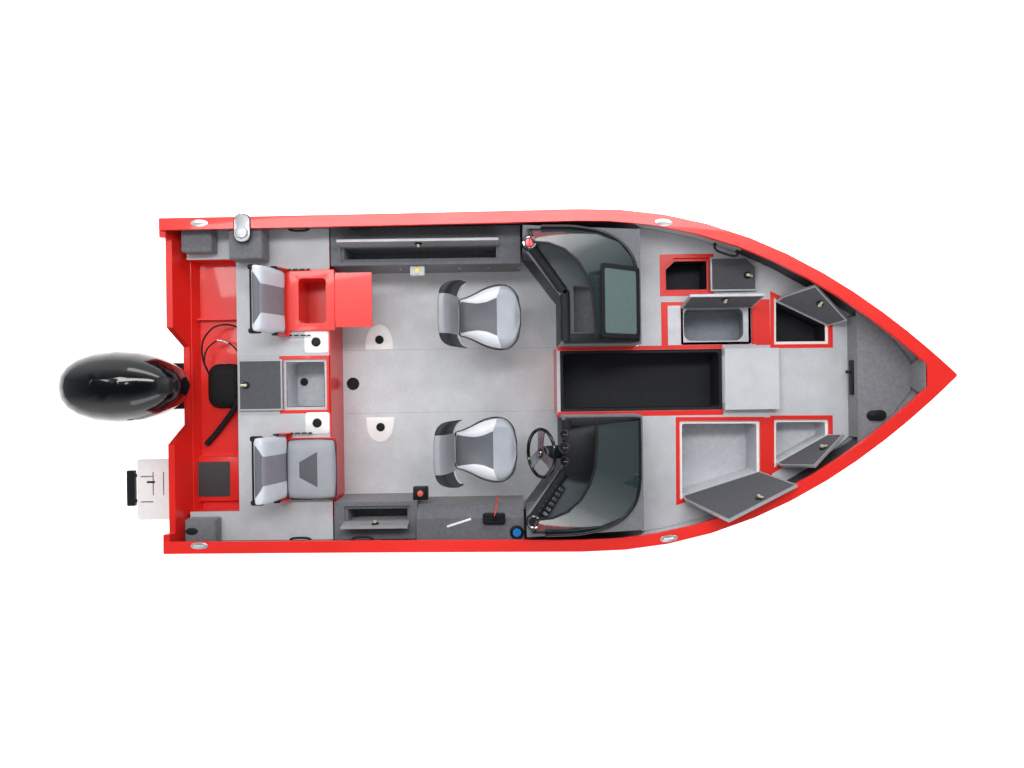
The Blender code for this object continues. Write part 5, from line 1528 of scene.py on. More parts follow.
@dataclass
class PedestalSeat:
    """A pedestal seat: contoured pan, winged back, piping and the swivel plate."""

    word: str
    x: float
    y: float
    pan_aft: float = -0.160
    pan_front: float = 0.282
    pan_low: float = 0.505
    pan_top: float = 0.60
    outline: Outline = ((0.0, 0.131), (0.07, 0.137), (0.14, 0.148), (0.25, 0.170), (0.36, 0.197),
                                 (0.47, 0.219), (0.58, 0.232), (0.68, 0.235), (0.77, 0.229), (0.85, 0.212),
                                 (0.915, 0.184), (0.96, 0.148), (0.985, 0.105), (0.998, 0.055))
    centre: Outline = ((0.0, 0.122), (0.14, 0.108), (0.3, 0.098), (0.45, 0.108), (0.62, 0.142), (1.0, 0.15))

    @staticmethod
    def along(table: Sequence[Flat], t: float) -> float:
        """Read a smooth line through a table.

        Args:
            table: Share and value pairs, in order.
            t: Share from 0 to 1.

        Returns:
            The value there.
        """
        for (t0, v0), (t1, v1) in zip(table, table[1:]):
            if t <= t1:
                s = max(0.0, (t - t0) / (t1 - t0))
                return v0 + (v1 - v0) * s
        return table[-1][1]

    def pan(self) -> None:
        """Contoured pan, its bolsters and front band."""
        length = self.pan_front - self.pan_aft
        stations = [i / 26 for i in range(27)]
        stations[-1] = 0.998
        rings, panels = [], []
        front_at = 0.60
        for t in stations:
            half = self.along(self.outline, t)
            inner = min(self.along(self.centre, t), half * 0.93)
            inner = min(inner, half * 0.62 if t > 0.9 else inner)
            spans = [-half + (half - inner) * (i / 5) ** 0.8 for i in range(5)]
            spans += [-inner + 2 * inner * i / 8 for i in range(9)]
            spans += [-s for s in reversed(spans[:5])]
            edge_fall = min(1.0, (1 - t) * 9 + 0.18) * min(1.0, t * 6 + 0.5)
            ring = []
            for y in spans:
                share = min(1.0, abs(y) / half)
                crown = (1 - share ** 4.5) ** 0.5
                bolster = 0.016 * math.exp(-((abs(y) - inner * 1.28) / 0.045) ** 2) * min(1.0, t * 3)
                dish = -0.014 * math.exp(-(y / 0.10) ** 2) * math.sin(math.pi * min(1.0, t * 1.3))
                bend = 0.034 * max(0.0, abs(y) - inner) / max(0.02, half - inner)
                bend *= math.exp(-((t - front_at) / 0.16) ** 2)
                rise = (self.pan_top - 0.552) * crown * edge_fall + bolster * crown + dish
                ring.append(Vector((self.x + self.pan_aft + length * t + bend, self.y + y, 0.552 + rise)))
            for y in reversed(spans):
                share = min(1.0, abs(y) / half)
                sink = (1 - share ** 5) ** 0.5
                z = 0.548 - 0.042 * sink * edge_fall
                ring.append(Vector((self.x + self.pan_aft + length * t, self.y + y, z)))
            rings.append(ring)
            row = []
            for j in range(len(ring)):
                if j >= len(spans) - 1:
                    row.append(Panel.SHELL)
                elif t >= front_at:
                    row.append(Panel.BAND)
                elif j < 5 or j >= len(spans) - 6:
                    row.append(Panel.BOLSTER)
                else:
                    row.append(Panel.CENTRE)
            panels.append(row)
        finishes = (SEAT_DARK, SEAT_WHITE, SEAT_LIGHT, SEAT_BLACK)
        pad = Padding(f"pan_padding_{self.word}", rings, panels, finishes)
        pad.build(f"{self.word}_seat", (f"seat_pan_{self.word}",))
        bm = bmesh.new()
        path = []
        for side in (1, -1):
            edge = []
            for t in stations:
                y = self.y + side * (self.along(self.outline, t) + 0.0015)
                edge.append(Vector((self.x + self.pan_aft + length * t, y, 0.549)))
            path += edge if side > 0 else edge[::-1]
        add_tube(bm, path, 0.0048, 10, closed=True)
        trim(f"pan_piping_{self.word}", bm, PIPING, f"{self.word}_seat", angle=60)

    def frame(self) -> None:
        """Swivel plate under the pan and the side brackets that carry the back."""
        bm = bmesh.new()
        place = stand((self.x, self.y, 0.4788))
        add_turned(bm, [(0.05, 0.0), (0.089, 0.001), (0.091, 0.010), (0.089, 0.018), (0.05, 0.020)], place)
        add_box(bm, (self.x - 0.15, self.y - 0.10, 0.497), (self.x + 0.15, self.y + 0.10, 0.507), 0.004)
        x = self.x
        for y in (-0.11, 0.11):
            low, high = self.y + y - 0.012, self.y + y + 0.012
            add_box(bm, (x - 0.20, low, 0.505), (x - 0.12, high, 0.517), 0.003)
            add_box(bm, (x - 0.205, low, 0.506), (x - 0.192, high, 0.668), 0.003)
        trim(f"seat_frame_{self.word}", bm, SATIN_BLACK, f"{self.word}_seat")

    def back(self) -> None:
        """Winged back, as a bowed pad that leans aft."""
        rings, panels = [], []
        lean = math.tan(math.radians(14))
        steps = 28
        for i in range(steps + 1):
            v = -1 + 2 * i / steps
            share = abs(v)
            y = 0.230 * math.sin(v * math.pi / 2 * 0.92) / math.sin(math.pi / 2 * 0.92)
            forward = 0.108 * share ** 3.6
            thick = 0.080 - 0.012 * share ** 2
            top = 0.948 - 0.055 * share ** 3
            low = 0.652 + 0.070 * share ** 3
            end = 1.0 if share < 0.93 else max(0.30, ((1 - share) / 0.07) ** 0.5)
            ring = []
            count = 24
            for k in range(count):
                a = 2 * math.pi * k / count
                c, s = math.cos(a), math.sin(a)
                dx = math.copysign(abs(c) ** 0.75, c) * thick / 2 * end
                z = (top + low) / 2 + math.copysign(abs(s) ** 0.38, s) * (top - low) / 2 * (0.75 + 0.25 * end)
                rib = 0.004 * math.cos((z - low) / 0.055 * math.pi) if c > 0.3 and share < 0.55 else 0.0
                centre_x = self.x - 0.186 + forward - (z - 0.652) * lean
                ring.append(Vector((centre_x + dx + rib, self.y + y, z)))
            rings.append(ring)
            row = []
            for k in range(count):
                a = 2 * math.pi * (k + 0.5) / count
                front = math.cos(a) > 0.62 or -0.9 < math.sin(a) < 0 < math.cos(a)
                if abs(v + 1 / steps) > 0.43:
                    lining = math.cos(a) > 0.3 and math.sin(a) < -0.2 and share < 0.9
                    row.append(Panel.BOLSTER if lining else Panel.SHELL)
                elif front:
                    row.append(Panel.CENTRE)
                elif math.sin(a) > 0:
                    row.append(Panel.BAND)
                else:
                    row.append(Panel.SHELL)
            panels.append(row)
        finishes = (SEAT_MID, SEAT_WHITE, BACK_SILVER, SEAT_BLACK)
        pad = Padding(f"back_padding_{self.word}", rings, panels, finishes)
        pad.build(f"{self.word}_back", (f"seat_back_{self.word}",))
        bm = bmesh.new()
        add_tube(bm, [Vector((self.x - 0.20, self.y + s * 0.150, 0.665)) for s in (-1, 1)], 0.0115, 12)
        trim(f"back_hinge_bar_{self.word}", bm, SATIN_BLACK, f"{self.word}_back", angle=60)

    def build(self) -> None:
        """Make the seat."""
        self.pan()
        self.frame()
        self.back()


@dataclass
class JumpSeat:
    """Folding back of an aft jump seat and its black hinge frame."""

    side: Side
    low: float = 0.367
    high: float = 0.832
    pivot: Flat = (-1.965, 0.63)
    bar: Flat = (-2.088, 0.79)
    bar_share: float = 0.96
    cheeks: Flat = (0.358, 0.841)
    pins: tuple[float, float, float] = (-1.875, -1.825, -1.775)

    def back(self) -> None:
        """Padded back in two greys, its hinge tube and the bar behind it."""
        x, z = self.pivot
        lean = math.tan(math.radians(15))
        sign = self.side.value
        middle, half = (self.low + self.high) / 2 * sign, (self.high - self.low) / 2
        rings, panels = [], []
        steps = 24
        for i in range(steps + 1):
            base = -1 + 2 * i / steps
            share = abs(base)
            end = 1.0 if share < 0.86 else max(0.45, (1 - ((share - 0.86) / 0.14) ** 2.2 * 0.55))
            ring, row = [], []
            count = 28
            for k in range(count):
                a = 2 * math.pi * k / count
                c, s = math.cos(a), math.sin(a)
                seam = 0.43 if s < 0.8 or c > 0.5 else 0.43 + 0.40 * min(1.0, (0.5 - c) / 0.8)
                v = math.copysign(warped(share, 0.5, seam), base)
                dx = math.copysign(abs(c) ** 0.55, c) * 0.043 * end
                height = math.copysign(abs(s) ** 0.42, s) * 0.158 * (0.93 + 0.07 * end)
                dip = 0.006 * math.exp(-(v / 0.45) ** 2) if c > 0.4 else 0.0
                level = 0.692 + height
                ring.append(Vector((x - 0.010 + dx - dip - (level - z) * lean, middle + v * half, level)))
                turn = 2 * math.pi * (k + 0.5) / count
                if math.cos(turn) < 0.0 and math.sin(turn) < 0.75:
                    row.append(Panel.SHELL)
                elif abs(base + 1 / steps) > 0.5:
                    row.append(Panel.BOLSTER)
                else:
                    row.append(Panel.CENTRE if math.cos(turn) > 0.45 else Panel.BAND)
            rings.append(ring)
            panels.append(row)
        word = self.side.word
        finishes = (JUMP_MID, JUMP_LIGHT, SEAT_DARK, SEAT_BLACK)
        pad = Padding(f"jump_back_padding_{word}", rings, panels, finishes)
        pad.build(f"jump_back_{word}", (f"jump_seat_back_{word}",))
        bm = bmesh.new()
        add_tube(bm, [Vector((x, sign * y, z)) for y in (self.low - 0.0045, self.high + 0.0045)], 0.0105, 12)
        bar_x, bar_z = self.bar
        ends = (middle - half * self.bar_share, middle + half * self.bar_share)
        add_tube(bm, [Vector((bar_x, y, bar_z)) for y in ends], 0.007, 12)
        for y in ends:
            add_box(bm, (bar_x - 0.018, y - 0.019, 0.770), (bar_x + 0.075, y + 0.019, 0.808), 0.014)
        trim(f"jump_back_frame_{word}", bm, SATIN_BLACK, f"jump_back_{word}", angle=50)

    def build(self) -> None:
        """Make the back and the black hinge plates over the cheeks of the base."""
        self.back()
        sign = self.side.value
        plates, pins = bmesh.new(), bmesh.new()
        for y in self.cheeks:
            low, high = sorted((sign * (y - 0.0055), sign * (y + 0.0055)))
            add_box(plates, (-1.987, low, 0.60), (-1.943, high, 0.6625), 0.002)
            add_slab(plates, rect(-1.90, -1.745, low, high), 0.515, 0.5235, 0.001)
            for x in self.pins:
                place = stand((x, sign * y, 0.5235))
                add_turned(pins, [(0.004, 0.0), (0.003, 0.003), (0.0, 0.0035)], place, 10)
        trim(f"jump_hinge_plates_{self.side.word}", plates, SATIN_BLACK)
        # The matte white bolt heads stand for the glint of steel bolts: a painted highlight.
        trim(f"jump_hinge_pins_{self.side.word}", pins, WHITE_TRIM)


@dataclass
class JumpCushion:
    """Loose starboard cushion with its dark sewn insert."""

    x0: float = -1.925
    x1: float = -1.564
    y0: float = -0.838
    y1: float = -0.402
    low: float = 0.5012
    insert_x: Flat = (-0.45, 0.28)
    insert_half: Flat = (0.24, 0.60)

    def build(self) -> None:
        """Make the crowned cushion."""
        nx, ny = 24, 26
        rings, panels = [], []
        aft, fore = self.insert_x
        seams = (8, 16)
        for i in range(nx + 1):
            if i <= seams[0]:
                u = -1 + (aft + 1) * i / seams[0]
            elif i <= seams[1]:
                u = aft + (fore - aft) * (i - seams[0]) / (seams[1] - seams[0])
            else:
                u = fore + (1 - fore) * (i - seams[1]) / (nx - seams[1])
            along = min(1.0, max(0.0, (u - aft) / (fore - aft)))
            wide = self.insert_half[0] + (self.insert_half[1] - self.insert_half[0]) * along
            ring, row = [], []
            for face in (1, -1):
                span = range(ny + 1) if face > 0 else range(ny, -1, -1)
                for j in span:
                    base = -1 + 2 * j / ny
                    v = math.copysign(warped(abs(base), 6 / 13, wide), base)
                    ru, rv = abs(u) ** 5, abs(v) ** 5
                    rim = max(0.0, 1 - ru) ** 0.4 * max(0.0, 1 - rv) ** 0.4
                    pull = 1 - 0.05 * (abs(u * v)) ** 3
                    if face > 0:
                        z = (self.low + 0.040) + (0.036 * rim + 0.006 * (1 - u * u) * (1 - v * v))
                    else:
                        z = self.low + 0.036 - 0.035 * rim
                    x = (self.x0 + self.x1) / 2 + u * (self.x1 - self.x0) / 2 * pull
                    y = (self.y0 + self.y1) / 2 + v * (self.y1 - self.y0) / 2 * pull
                    ring.append(Vector((x, y, z)))
                    inside = seams[0] <= i < seams[1] and abs(base + 1 / ny) < 6 / 13 and face > 0
                    row.append(Panel.CENTRE if inside else Panel.BAND if face > 0 else Panel.SHELL)
            rings.append(ring)
            panels.append(row)
        finishes = (INSERT_VINYL, SEAT_MID, JUMP_CUSHION, SEAT_BLACK)
        Padding("jump_cushion_padding", rings, panels, finishes).build("hull", ("jump_seat_cushion",))
        bm = bmesh.new()
        path = [Vector((x, y, self.low + 0.038)) for x, y in
                rounded(rect(self.x0 + 0.001, self.x1 - 0.001, self.y0 + 0.001, self.y1 - 0.001), 0.045, 8)]
        add_tube(bm, path, 0.004, 8, closed=True)
        trim("jump_cushion_piping", bm, PIPING, angle=60)


# Helm and windshields


@dataclass
class Helm:
    """Consoles' dash tops, brows, instruments, cup holders and the steering wheel."""

    brow: Outline = ((-0.150, 0.962), (0.075, 0.640), (0.098, 0.590), (0.100, 0.272))
    brow_width: float = 0.066
    top_outline: Outline = ((0.09, 0.262), (0.596, 0.262), (0.590, 0.70), (0.556, 0.845), (0.478, 0.942),
                                     (0.340, 1.002), (0.120, 1.030), (-0.150, 1.034), (-0.155, 0.985),
                                     (0.082, 0.640))
    foot_line: Outline = ((-0.060, 1.070), (0.190, 1.062), (0.400, 1.010), (0.535, 0.905), (0.594, 0.760),
                                   (0.600, 0.500), (0.600, 0.300))
    glovebox: Quad = (0.16, 0.50, 0.335, 0.66)
    inner_bar_y: Flat = (0.258, 0.322)
    gauge_facing: Point = (-0.6, 0.0, 0.8)
    gauges: Outline = ((-0.372, 0.034), (-0.462, 0.040), (-0.556, 0.034))
    switch_line: tuple[Flat, Flat] = ((0.045, -0.725), (-0.085, -0.925))
    cup_rise: float = 0.042
    lit_cups: tuple[tuple[Point, Finish, str], ...] = (
        ((-0.140, 0.955, DASH_Z), RED_LENS, "cup_light_port"),
        ((-0.255, -1.098, 0.5185), BLUE_LENS, "cup_light_stbd"))
    plain_cup: Point = (-0.136, -0.972, DASH_Z)
    floor_lights: tuple[tuple[Point, Point, Finish, Finish, str], ...] = (
        ((-1.020, -0.869, 0.40), (-0.910, -0.770, 0.462), AMBER_LENS, SATIN_BLACK, "courtesy_light_stbd"),
        ((-1.020, 0.795, 0.40), (-0.910, 0.869, 0.462), WARM_LENS, LINER_RIM, "courtesy_light_port"))
    wheel_at: Point = (-0.080, -0.500, 0.82)
    wheel_tilt: float = 32.0
    wheel_r: float = 0.165
    spokes: tuple[float, ...] = (90, 210, 330)
    spoke_shape: tuple[Point, ...] = ((0.022, 0.036, 0.004), (0.060, 0.032, 0.004), (0.105, 0.034, 0.0),
                                      (0.158, 0.046, -0.002))

    @staticmethod
    def mirrored(points: Sequence[Flat], side: Side) -> list[Flat]:
        """Port outline, flipped for starboard.

        Args:
            points: Corners on the port side.
            side: Side wanted.

        Returns:
            Corners, still counterclockwise.
        """
        flipped = [(x, side.value * y) for x, y in points]
        return flipped if side is Side.PORT else flipped[::-1]

    def dash(self, side: Side) -> None:
        """Black textured dash top and its padded brow.

        Args:
            side: Side of the boat.
        """
        bm = bmesh.new()
        outline = self.mirrored(self.top_outline, side)
        if side is Side.PORT:
            x0, x1, y0, y1 = self.glovebox
            for x_low, x_high, y_low, y_high in ((0.092, x0, 0.264, 0.70), (x1, 0.594, 0.264, 0.70),
                                                 (x0, x1, 0.264, y0), (x0, x1, y1, 0.70)):
                add_box(bm, (x_low, y_low, DASH_Z - 0.0005), (x_high, y_high, DASH_Z + 0.003))
            aft = [(0.592, 0.70)] + [p for p in outline if p[1] > 0.70] + [(0.05, 0.70)]
            add_slab(bm, aft, DASH_Z - 0.0005, DASH_Z + 0.003)
        else:
            add_slab(bm, outline, DASH_Z - 0.0005, DASH_Z + 0.003)
        trim(f"dash_top_{side.word}", bm, DASH_GREY)
        bm = bmesh.new()
        path = curve_through([(x, side.value * y, DASH_Z) for x, y in self.brow], 8)
        self.bar(bm, path, self.brow_width, 0.040)
        low, high = sorted(side.value * y for y in self.inner_bar_y)
        add_box(bm, (0.088, low, DASH_Z - 0.001), (0.592, high, DASH_Z + 0.028), 0.008)
        trim(f"dash_brow_{side.word}", bm, DASH_BLACK, angle=50)
        bm = bmesh.new()
        foot = [(x, side.value * y, DASH_Z + 0.010) for x, y in self.foot_line]
        add_tube(bm, curve_through(foot, 6), 0.013, 10)
        inner = [(x - 0.030, side.value * (y - 0.030), DASH_Z + 0.006) for x, y in self.foot_line[1:]]
        add_tube(bm, curve_through(inner, 6), 0.008, 10)
        trim(f"windshield_foot_{side.word}", bm, FRAME_BLACK, angle=60)

    @staticmethod
    def bar(bm: BMesh, path: Sequence[Vector], width: float, height: float) -> None:
        """Add a bar with a rounded top along a level path.

        Args:
            bm: Where it goes.
            path: Points along its foot.
            width: Width of its foot.
            height: Height of its top.
        """
        half = [(0.2, 0.98), (0.42, 0.80), (0.5, 0.45), (0.5, 0.0)]
        section = [(-a, b) for a, b in reversed(half)] + half
        rings = []
        for i, here in enumerate(path):
            before, after = path[max(0, i - 1)], path[min(len(path) - 1, i + 1)]
            along = (after - before).normalized()
            across = Vector((along.y, -along.x, 0))
            rings.append([bm.verts.new(here + across * (a * width) + Vector((0, 0, b * height)))
                          for a, b in section])
        bridge(bm, rings)
        bm.faces.new(rings[0])
        bm.faces.new(rings[-1][::-1])

    def instruments(self) -> None:
        """Gauge pod, rocker switches and key panel of the helm."""
        pod = bmesh.new()
        add_slab(pod, rounded([(0.082, -0.66), (0.30, -0.70), (0.30, -0.30), (0.082, -0.34)], 0.03, 4),
                 DASH_Z + 0.002, DASH_Z + 0.075, 0.018)
        trim("gauge_pod", pod, SATIN_BLACK, angle=50)
        rims, faces, needles = bmesh.new(), bmesh.new(), bmesh.new()
        for y, radius in self.gauges:
            place = stand((0.080, y, DASH_Z + 0.060), self.gauge_facing)
            add_turned(rims, [(radius * 0.86, 0.004), (radius * 0.90, 0.011), (radius, 0.011),
                              (radius * 1.1, -0.04), (radius * 0.86, -0.04)], place)
            add_turned(faces, [(radius * 0.87, 0.0), (radius * 0.87, 0.0045), (0.0, 0.0048)], place)
            hand = add_box(needles, (-0.0012, -0.004, 0.005), (0.0012, radius * 0.7, 0.0062))
            bmesh.ops.transform(needles, matrix=place, verts=hand)
        trim("gauge_rims", rims, GAUGE_RIM)
        trim("gauge_faces", faces, DIAL_FACE)
        trim("gauge_hands", needles, WHITE_TRIM)
        panel, rockers = bmesh.new(), bmesh.new()
        start, end = (Vector((*point, DASH_Z)) for point in self.switch_line)
        run = (end - start).normalized()
        across = Vector((-run.y, run.x, 0))
        turn = Matrix((run, across, Vector((0, 0, 1)))).transposed().to_4x4()
        place = Matrix.Translation(start.lerp(end, 0.5)) @ turn
        add_box(panel, (-0.125, -0.045, 0.002), (0.125, 0.045, 0.030), 0.008)
        bmesh.ops.transform(panel, matrix=place, verts=panel.verts[:])
        for i in range(6):
            x = -0.10 + i * 0.040
            add_box(rockers, (x - 0.013, 0.002, 0.029), (x + 0.013, 0.038, 0.036), 0.003, 1)
            add_box(rockers, (x - 0.009, 0.006, 0.035), (x + 0.009, 0.018, 0.043), 0.003, 1)
            knob = [(0.011, 0.029), (0.011, 0.033), (0.005, 0.034), (0.004, 0.045), (0.0, 0.046)]
            add_turned(rockers, knob, stand((x, -0.023, 0)), 12)
        bmesh.ops.transform(rockers, matrix=place, verts=rockers.verts[:])
        trim("switch_panel", panel, SATIN_BLACK, angle=50)
        trim("rocker_switches", rockers, SPOKE_STEEL)

    def cups(self) -> None:
        """Cup holders with lit wells, and courtesy lights by the floor."""
        rims, dark = bmesh.new(), bmesh.new()
        for at, finish, name in self.lit_cups:
            self.cup(dark if finish is BLUE_LENS else rims, dark, at)
            bm = bmesh.new()
            place = stand(Vector(at) + Vector((0, 0, self.cup_rise)))
            add_turned(bm, [(0.030, 0.0045), (0.030, 0.0055), (0.0, 0.006)], place)
            trim(name, bm, finish)
        self.cup(rims, dark, self.plain_cup)
        trim("cup_holder_rims", rims, CHROME)
        trim("cup_holder_wells", dark, SATIN_BLACK)
        for low, high, finish, housing, name in self.floor_lights:
            bm = bmesh.new()
            add_box(bm, low, high, 0.008)
            trim(f"{name}_housing", bm, housing)
            bm = bmesh.new()
            middle = (Vector(low) + Vector(high)) / 2
            add_turned(bm, [(0.022, 0.0), (0.022, 0.010), (0.014, 0.016), (0.0, 0.018)],
                       stand((middle.x, middle.y, high[2] - 0.001)))
            trim(name, bm, finish)

    def cup(self, rims: BMesh, dark: BMesh, at: Point) -> None:
        """Bright ring round a dark cup.

        Args:
            rims: Where the ring goes.
            dark: Where the cup goes.
            at: Middle of its foot.
        """
        top = stand(Vector(at) + Vector((0, 0, self.cup_rise)))
        add_turned(rims, [(0.036, 0.0), (0.036, 0.006), (0.040, 0.009), (0.047, 0.007), (0.049, 0.0)], top)
        add_turned(dark, [(0.0365, 0.001), (0.0365, 0.0035), (0.0, 0.004)], top)
        well = [(0.058, 0.0), (0.057, 0.036), (0.052, self.cup_rise), (0.0, self.cup_rise)]
        add_turned(dark, well, stand(at))

    def wheel(self) -> None:
        """Steering wheel with three brushed spokes and a padded rim."""
        tilt = math.radians(self.wheel_tilt)
        normal = Vector((-math.cos(tilt), 0, math.sin(tilt)))
        place = Matrix.Translation(self.wheel_at) @ normal.to_track_quat("Z", "X").to_matrix().to_4x4()
        rim, spokes = bmesh.new(), bmesh.new()
        ring = []
        for i in range(48):
            a = i * math.pi / 24
            ring.append(place @ Vector((self.wheel_r * math.cos(a), self.wheel_r * math.sin(a), 0)))
        add_tube(rim, ring, 0.0125, 14, closed=True)
        trim("wheel_rim", rim, GLOSS_BLACK, "steering_wheel", ("steering_wheel",), angle=60)
        for angle in self.spokes:
            turn = place @ Matrix.Rotation(math.radians(angle), 4, "Z")
            corners = []
            for reach, half, lift in self.spoke_shape:
                corners.append([spokes.verts.new(turn @ Vector((reach, w, lift + h)))
                                for w, h in ((-half, -0.003), (half, -0.003), (half, 0.003), (-half, 0.003))])
            bridge(spokes, corners)
            spokes.faces.new(corners[0])
            spokes.faces.new(corners[-1][::-1])
        trim("wheel_spokes", spokes, SPOKE_STEEL, "steering_wheel")
        hub = bmesh.new()
        add_turned(hub, [(0.034, -0.025), (0.036, 0.0), (0.034, 0.008), (0.024, 0.014), (0.0, 0.015)], place)
        trim("wheel_hub", hub, SATIN_BLACK, "steering_wheel", angle=50)
        column = bmesh.new()
        tube = [(0.0, -0.20), (0.0475, -0.20), (0.0475, -0.036), (0.040, -0.030), (0.0, -0.030)]
        add_turned(column, tube, place)
        trim("steering_column", column, DASH_BLACK, angle=50)
        cap = bmesh.new()
        add_turned(cap, [(0.020, 0.0145), (0.019, 0.0175), (0.0, 0.019)], place)
        trim("wheel_cap", cap, CHROME, "steering_wheel", angle=50)

    def build(self) -> None:
        """Make both dashes and the helm."""
        for side in Side:
            self.dash(side)
        self.instruments()
        self.cups()
        self.wheel()


@dataclass
class Gate:
    """Walk-through window folded over the port windshield: black frame round smoked glass."""

    frame: float = 0.030
    thick: float = 0.012
    foot: Point = (0.606, 0.0, DASH_Z + 0.009)
    head: Point = (0.278, 0.0, 1.08)
    shorter: float = 0.05
    hinge_y: float = 0.268
    side_gaps: Flat = (0.018, 0.026)
    hinge_gap: float = 0.012

    def build(self) -> None:
        """Make the frame and the pane in the CAD gate's place."""
        low, high = Vector(self.foot), Vector(self.head)
        slope = (high - low).normalized()
        out = Vector((slope.z, 0, -slope.x))
        length = (high - low).length - self.shorter
        width = self.hinge_y * 2 - self.side_gaps[0] - self.side_gaps[1]
        facts = next(j for j in FRAME["joints"] if j["name"] == "gate_hinge")
        pivot, axis = Vector(facts["pos_m"]), Vector(facts["axis"])
        middle = (low + high) / 2 + Vector((0, self.hinge_y - self.hinge_gap - width / 2, 0))
        shut = Matrix.Translation(middle) @ Matrix((slope, Vector((0, 1, 0)), out)).transposed().to_4x4()
        turn = closed_to_rest("gate_hinge")
        outer = rounded(rect(-length / 2, length / 2, -width / 2, width / 2), 0.03, 5)
        half_x, half_y = length / 2 - self.frame, width / 2 - self.frame
        inner = rounded(rect(-half_x, half_x, -half_y, half_y), 0.02, 5)
        bm = bmesh.new()
        add_ring(bm, outer, inner, -self.thick / 2, self.thick / 2)
        piece = mesh_piece("gate_frame", bm)
        piece.data.transform(turn @ shut)
        settle(piece, SATIN_BLACK, "gate", ("walk_through_gate",))
        bm = bmesh.new()
        add_slab(bm, grown(inner, 0.004), -0.002, 0.002)
        piece = mesh_piece("gate_glass", bm)
        piece.data.transform(turn @ shut)
        # The pane's pale teal is partly its tint and partly a painted reflection.
        settle(piece, GLASS_TINT_AND_REFLECTION, "gate")
        bm = bmesh.new()
        reach = length * 0.40
        add_tube(bm, [pivot - axis * reach, pivot + axis * reach], 0.0062, 10)
        add_slab(bm, rect(-reach, reach, -0.012, 0.004), -0.004, 0.002)
        place = turn @ shut @ Matrix.Translation((0, width / 2 + 0.004, 0.010))
        bmesh.ops.transform(bm, matrix=place, verts=bm.verts[:][-8:])
        trim("gate_hinge", bm, SATIN_BLACK, "gate", angle=50)


@dataclass
class Motor:
    """Trim of the outboard: the latch block at the front of its cowl."""

    latch: tuple[Point, Point] = ((-2.645, -0.055, 1.02), (-2.53, 0.055, 1.075))

    def build(self) -> None:
        """Make the motor's trim."""
        bm = bmesh.new()
        add_box(bm, *self.latch, 0.012)
        trim("cowl_latch", bm, SATIN_BLACK, "motor_steer")


@dataclass
class Stern:
    """Slots of the swim platform, two across it and one along it."""

    z: float = 0.127
    slots_x: Flat = (-3.100, -3.018)
    slots_y: Flat = (-0.852, -0.671)
    long_slot: Quad = (-3.149, -3.086, -0.757, -0.741)

    def build(self) -> None:
        """Make the platform's trim."""
        bm = bmesh.new()
        y0, y1 = self.slots_y
        for x in self.slots_x:
            add_box(bm, (x - 0.003, y0, self.z - 0.0001), (x + 0.003, y1, self.z + 0.0008))
        x0, x1, y0, y1 = self.long_slot
        add_box(bm, (x0, y0, self.z - 0.0001), (x1, y1, self.z + 0.0012))
        trim("platform_slots", bm, SATIN_BLACK)


@dataclass
class Cockpit:
    """Strip light, lanyard, screws and floor seams along the cockpit."""

    strip_at: Point = (-0.675, -1.022, 0.5602)
    strip_turn: float = 0.30
    floor_screws: Outline = ((-0.123, 0.235), (0.02, 0.235), (-0.367, 0.258), (-0.367, 0.240),
                             (-0.123, -0.235), (-0.367, -0.235))
    panel_screws: tuple[float, ...] = (-1.113, -0.664, -0.443, -0.207)
    seams_y: Flat = (0.265, -0.234)
    seams_x: Flat = (-1.595, 0.065)
    lanyard: tuple[Point, ...] = ((-0.415, -0.965, 0.640), (-0.405, -0.93, 0.612), (-0.400, -0.885, 0.585),
                                  (-0.396, -0.855, 0.50), (-0.395, -0.845, 0.43))
    lanyard_r: float = 0.0055

    def build(self) -> None:
        """Make the small fittings of the cockpit."""
        bm = bmesh.new()
        add_box(bm, (-0.092, -0.008, 0.0), (0.092, 0.008, 0.006), 0.003)
        bm.transform(Matrix.Translation(self.strip_at) @ Matrix.Rotation(self.strip_turn, 4, "Z"))
        trim("strip_light", bm, WHITE_LENS)
        bm = bmesh.new()
        for x, y in self.floor_screws:
            add_turned(bm, [(0.0075, 0.0), (0.006, 0.0018), (0.0, 0.0022)], stand((x, y, FLOOR_Z)), 12)
        for x in self.panel_screws:
            place = stand((x, 0.868, 0.30), (0, -1, 0.3))
            add_turned(bm, [(0.009, 0.0), (0.008, 0.005), (0.0, 0.008)], place, 12)
        # The screw heads take the pale liner colour in place of chrome: a painted glint.
        trim("panel_screws", bm, LINER_RIM)
        bm = bmesh.new()
        x0, x1 = self.seams_x
        for y in self.seams_y:
            add_box(bm, (x0, y - 0.0007, FLOOR_Z - 0.001), (x1, y + 0.0007, FLOOR_Z + 0.0005))
        trim("floor_seams", bm, DARK_CARPET)
        bm = bmesh.new()
        add_tube(bm, curve_through(self.lanyard, 6), self.lanyard_r, 8)
        trim("kill_switch_lanyard", bm, RED_GLOSS, angle=60)


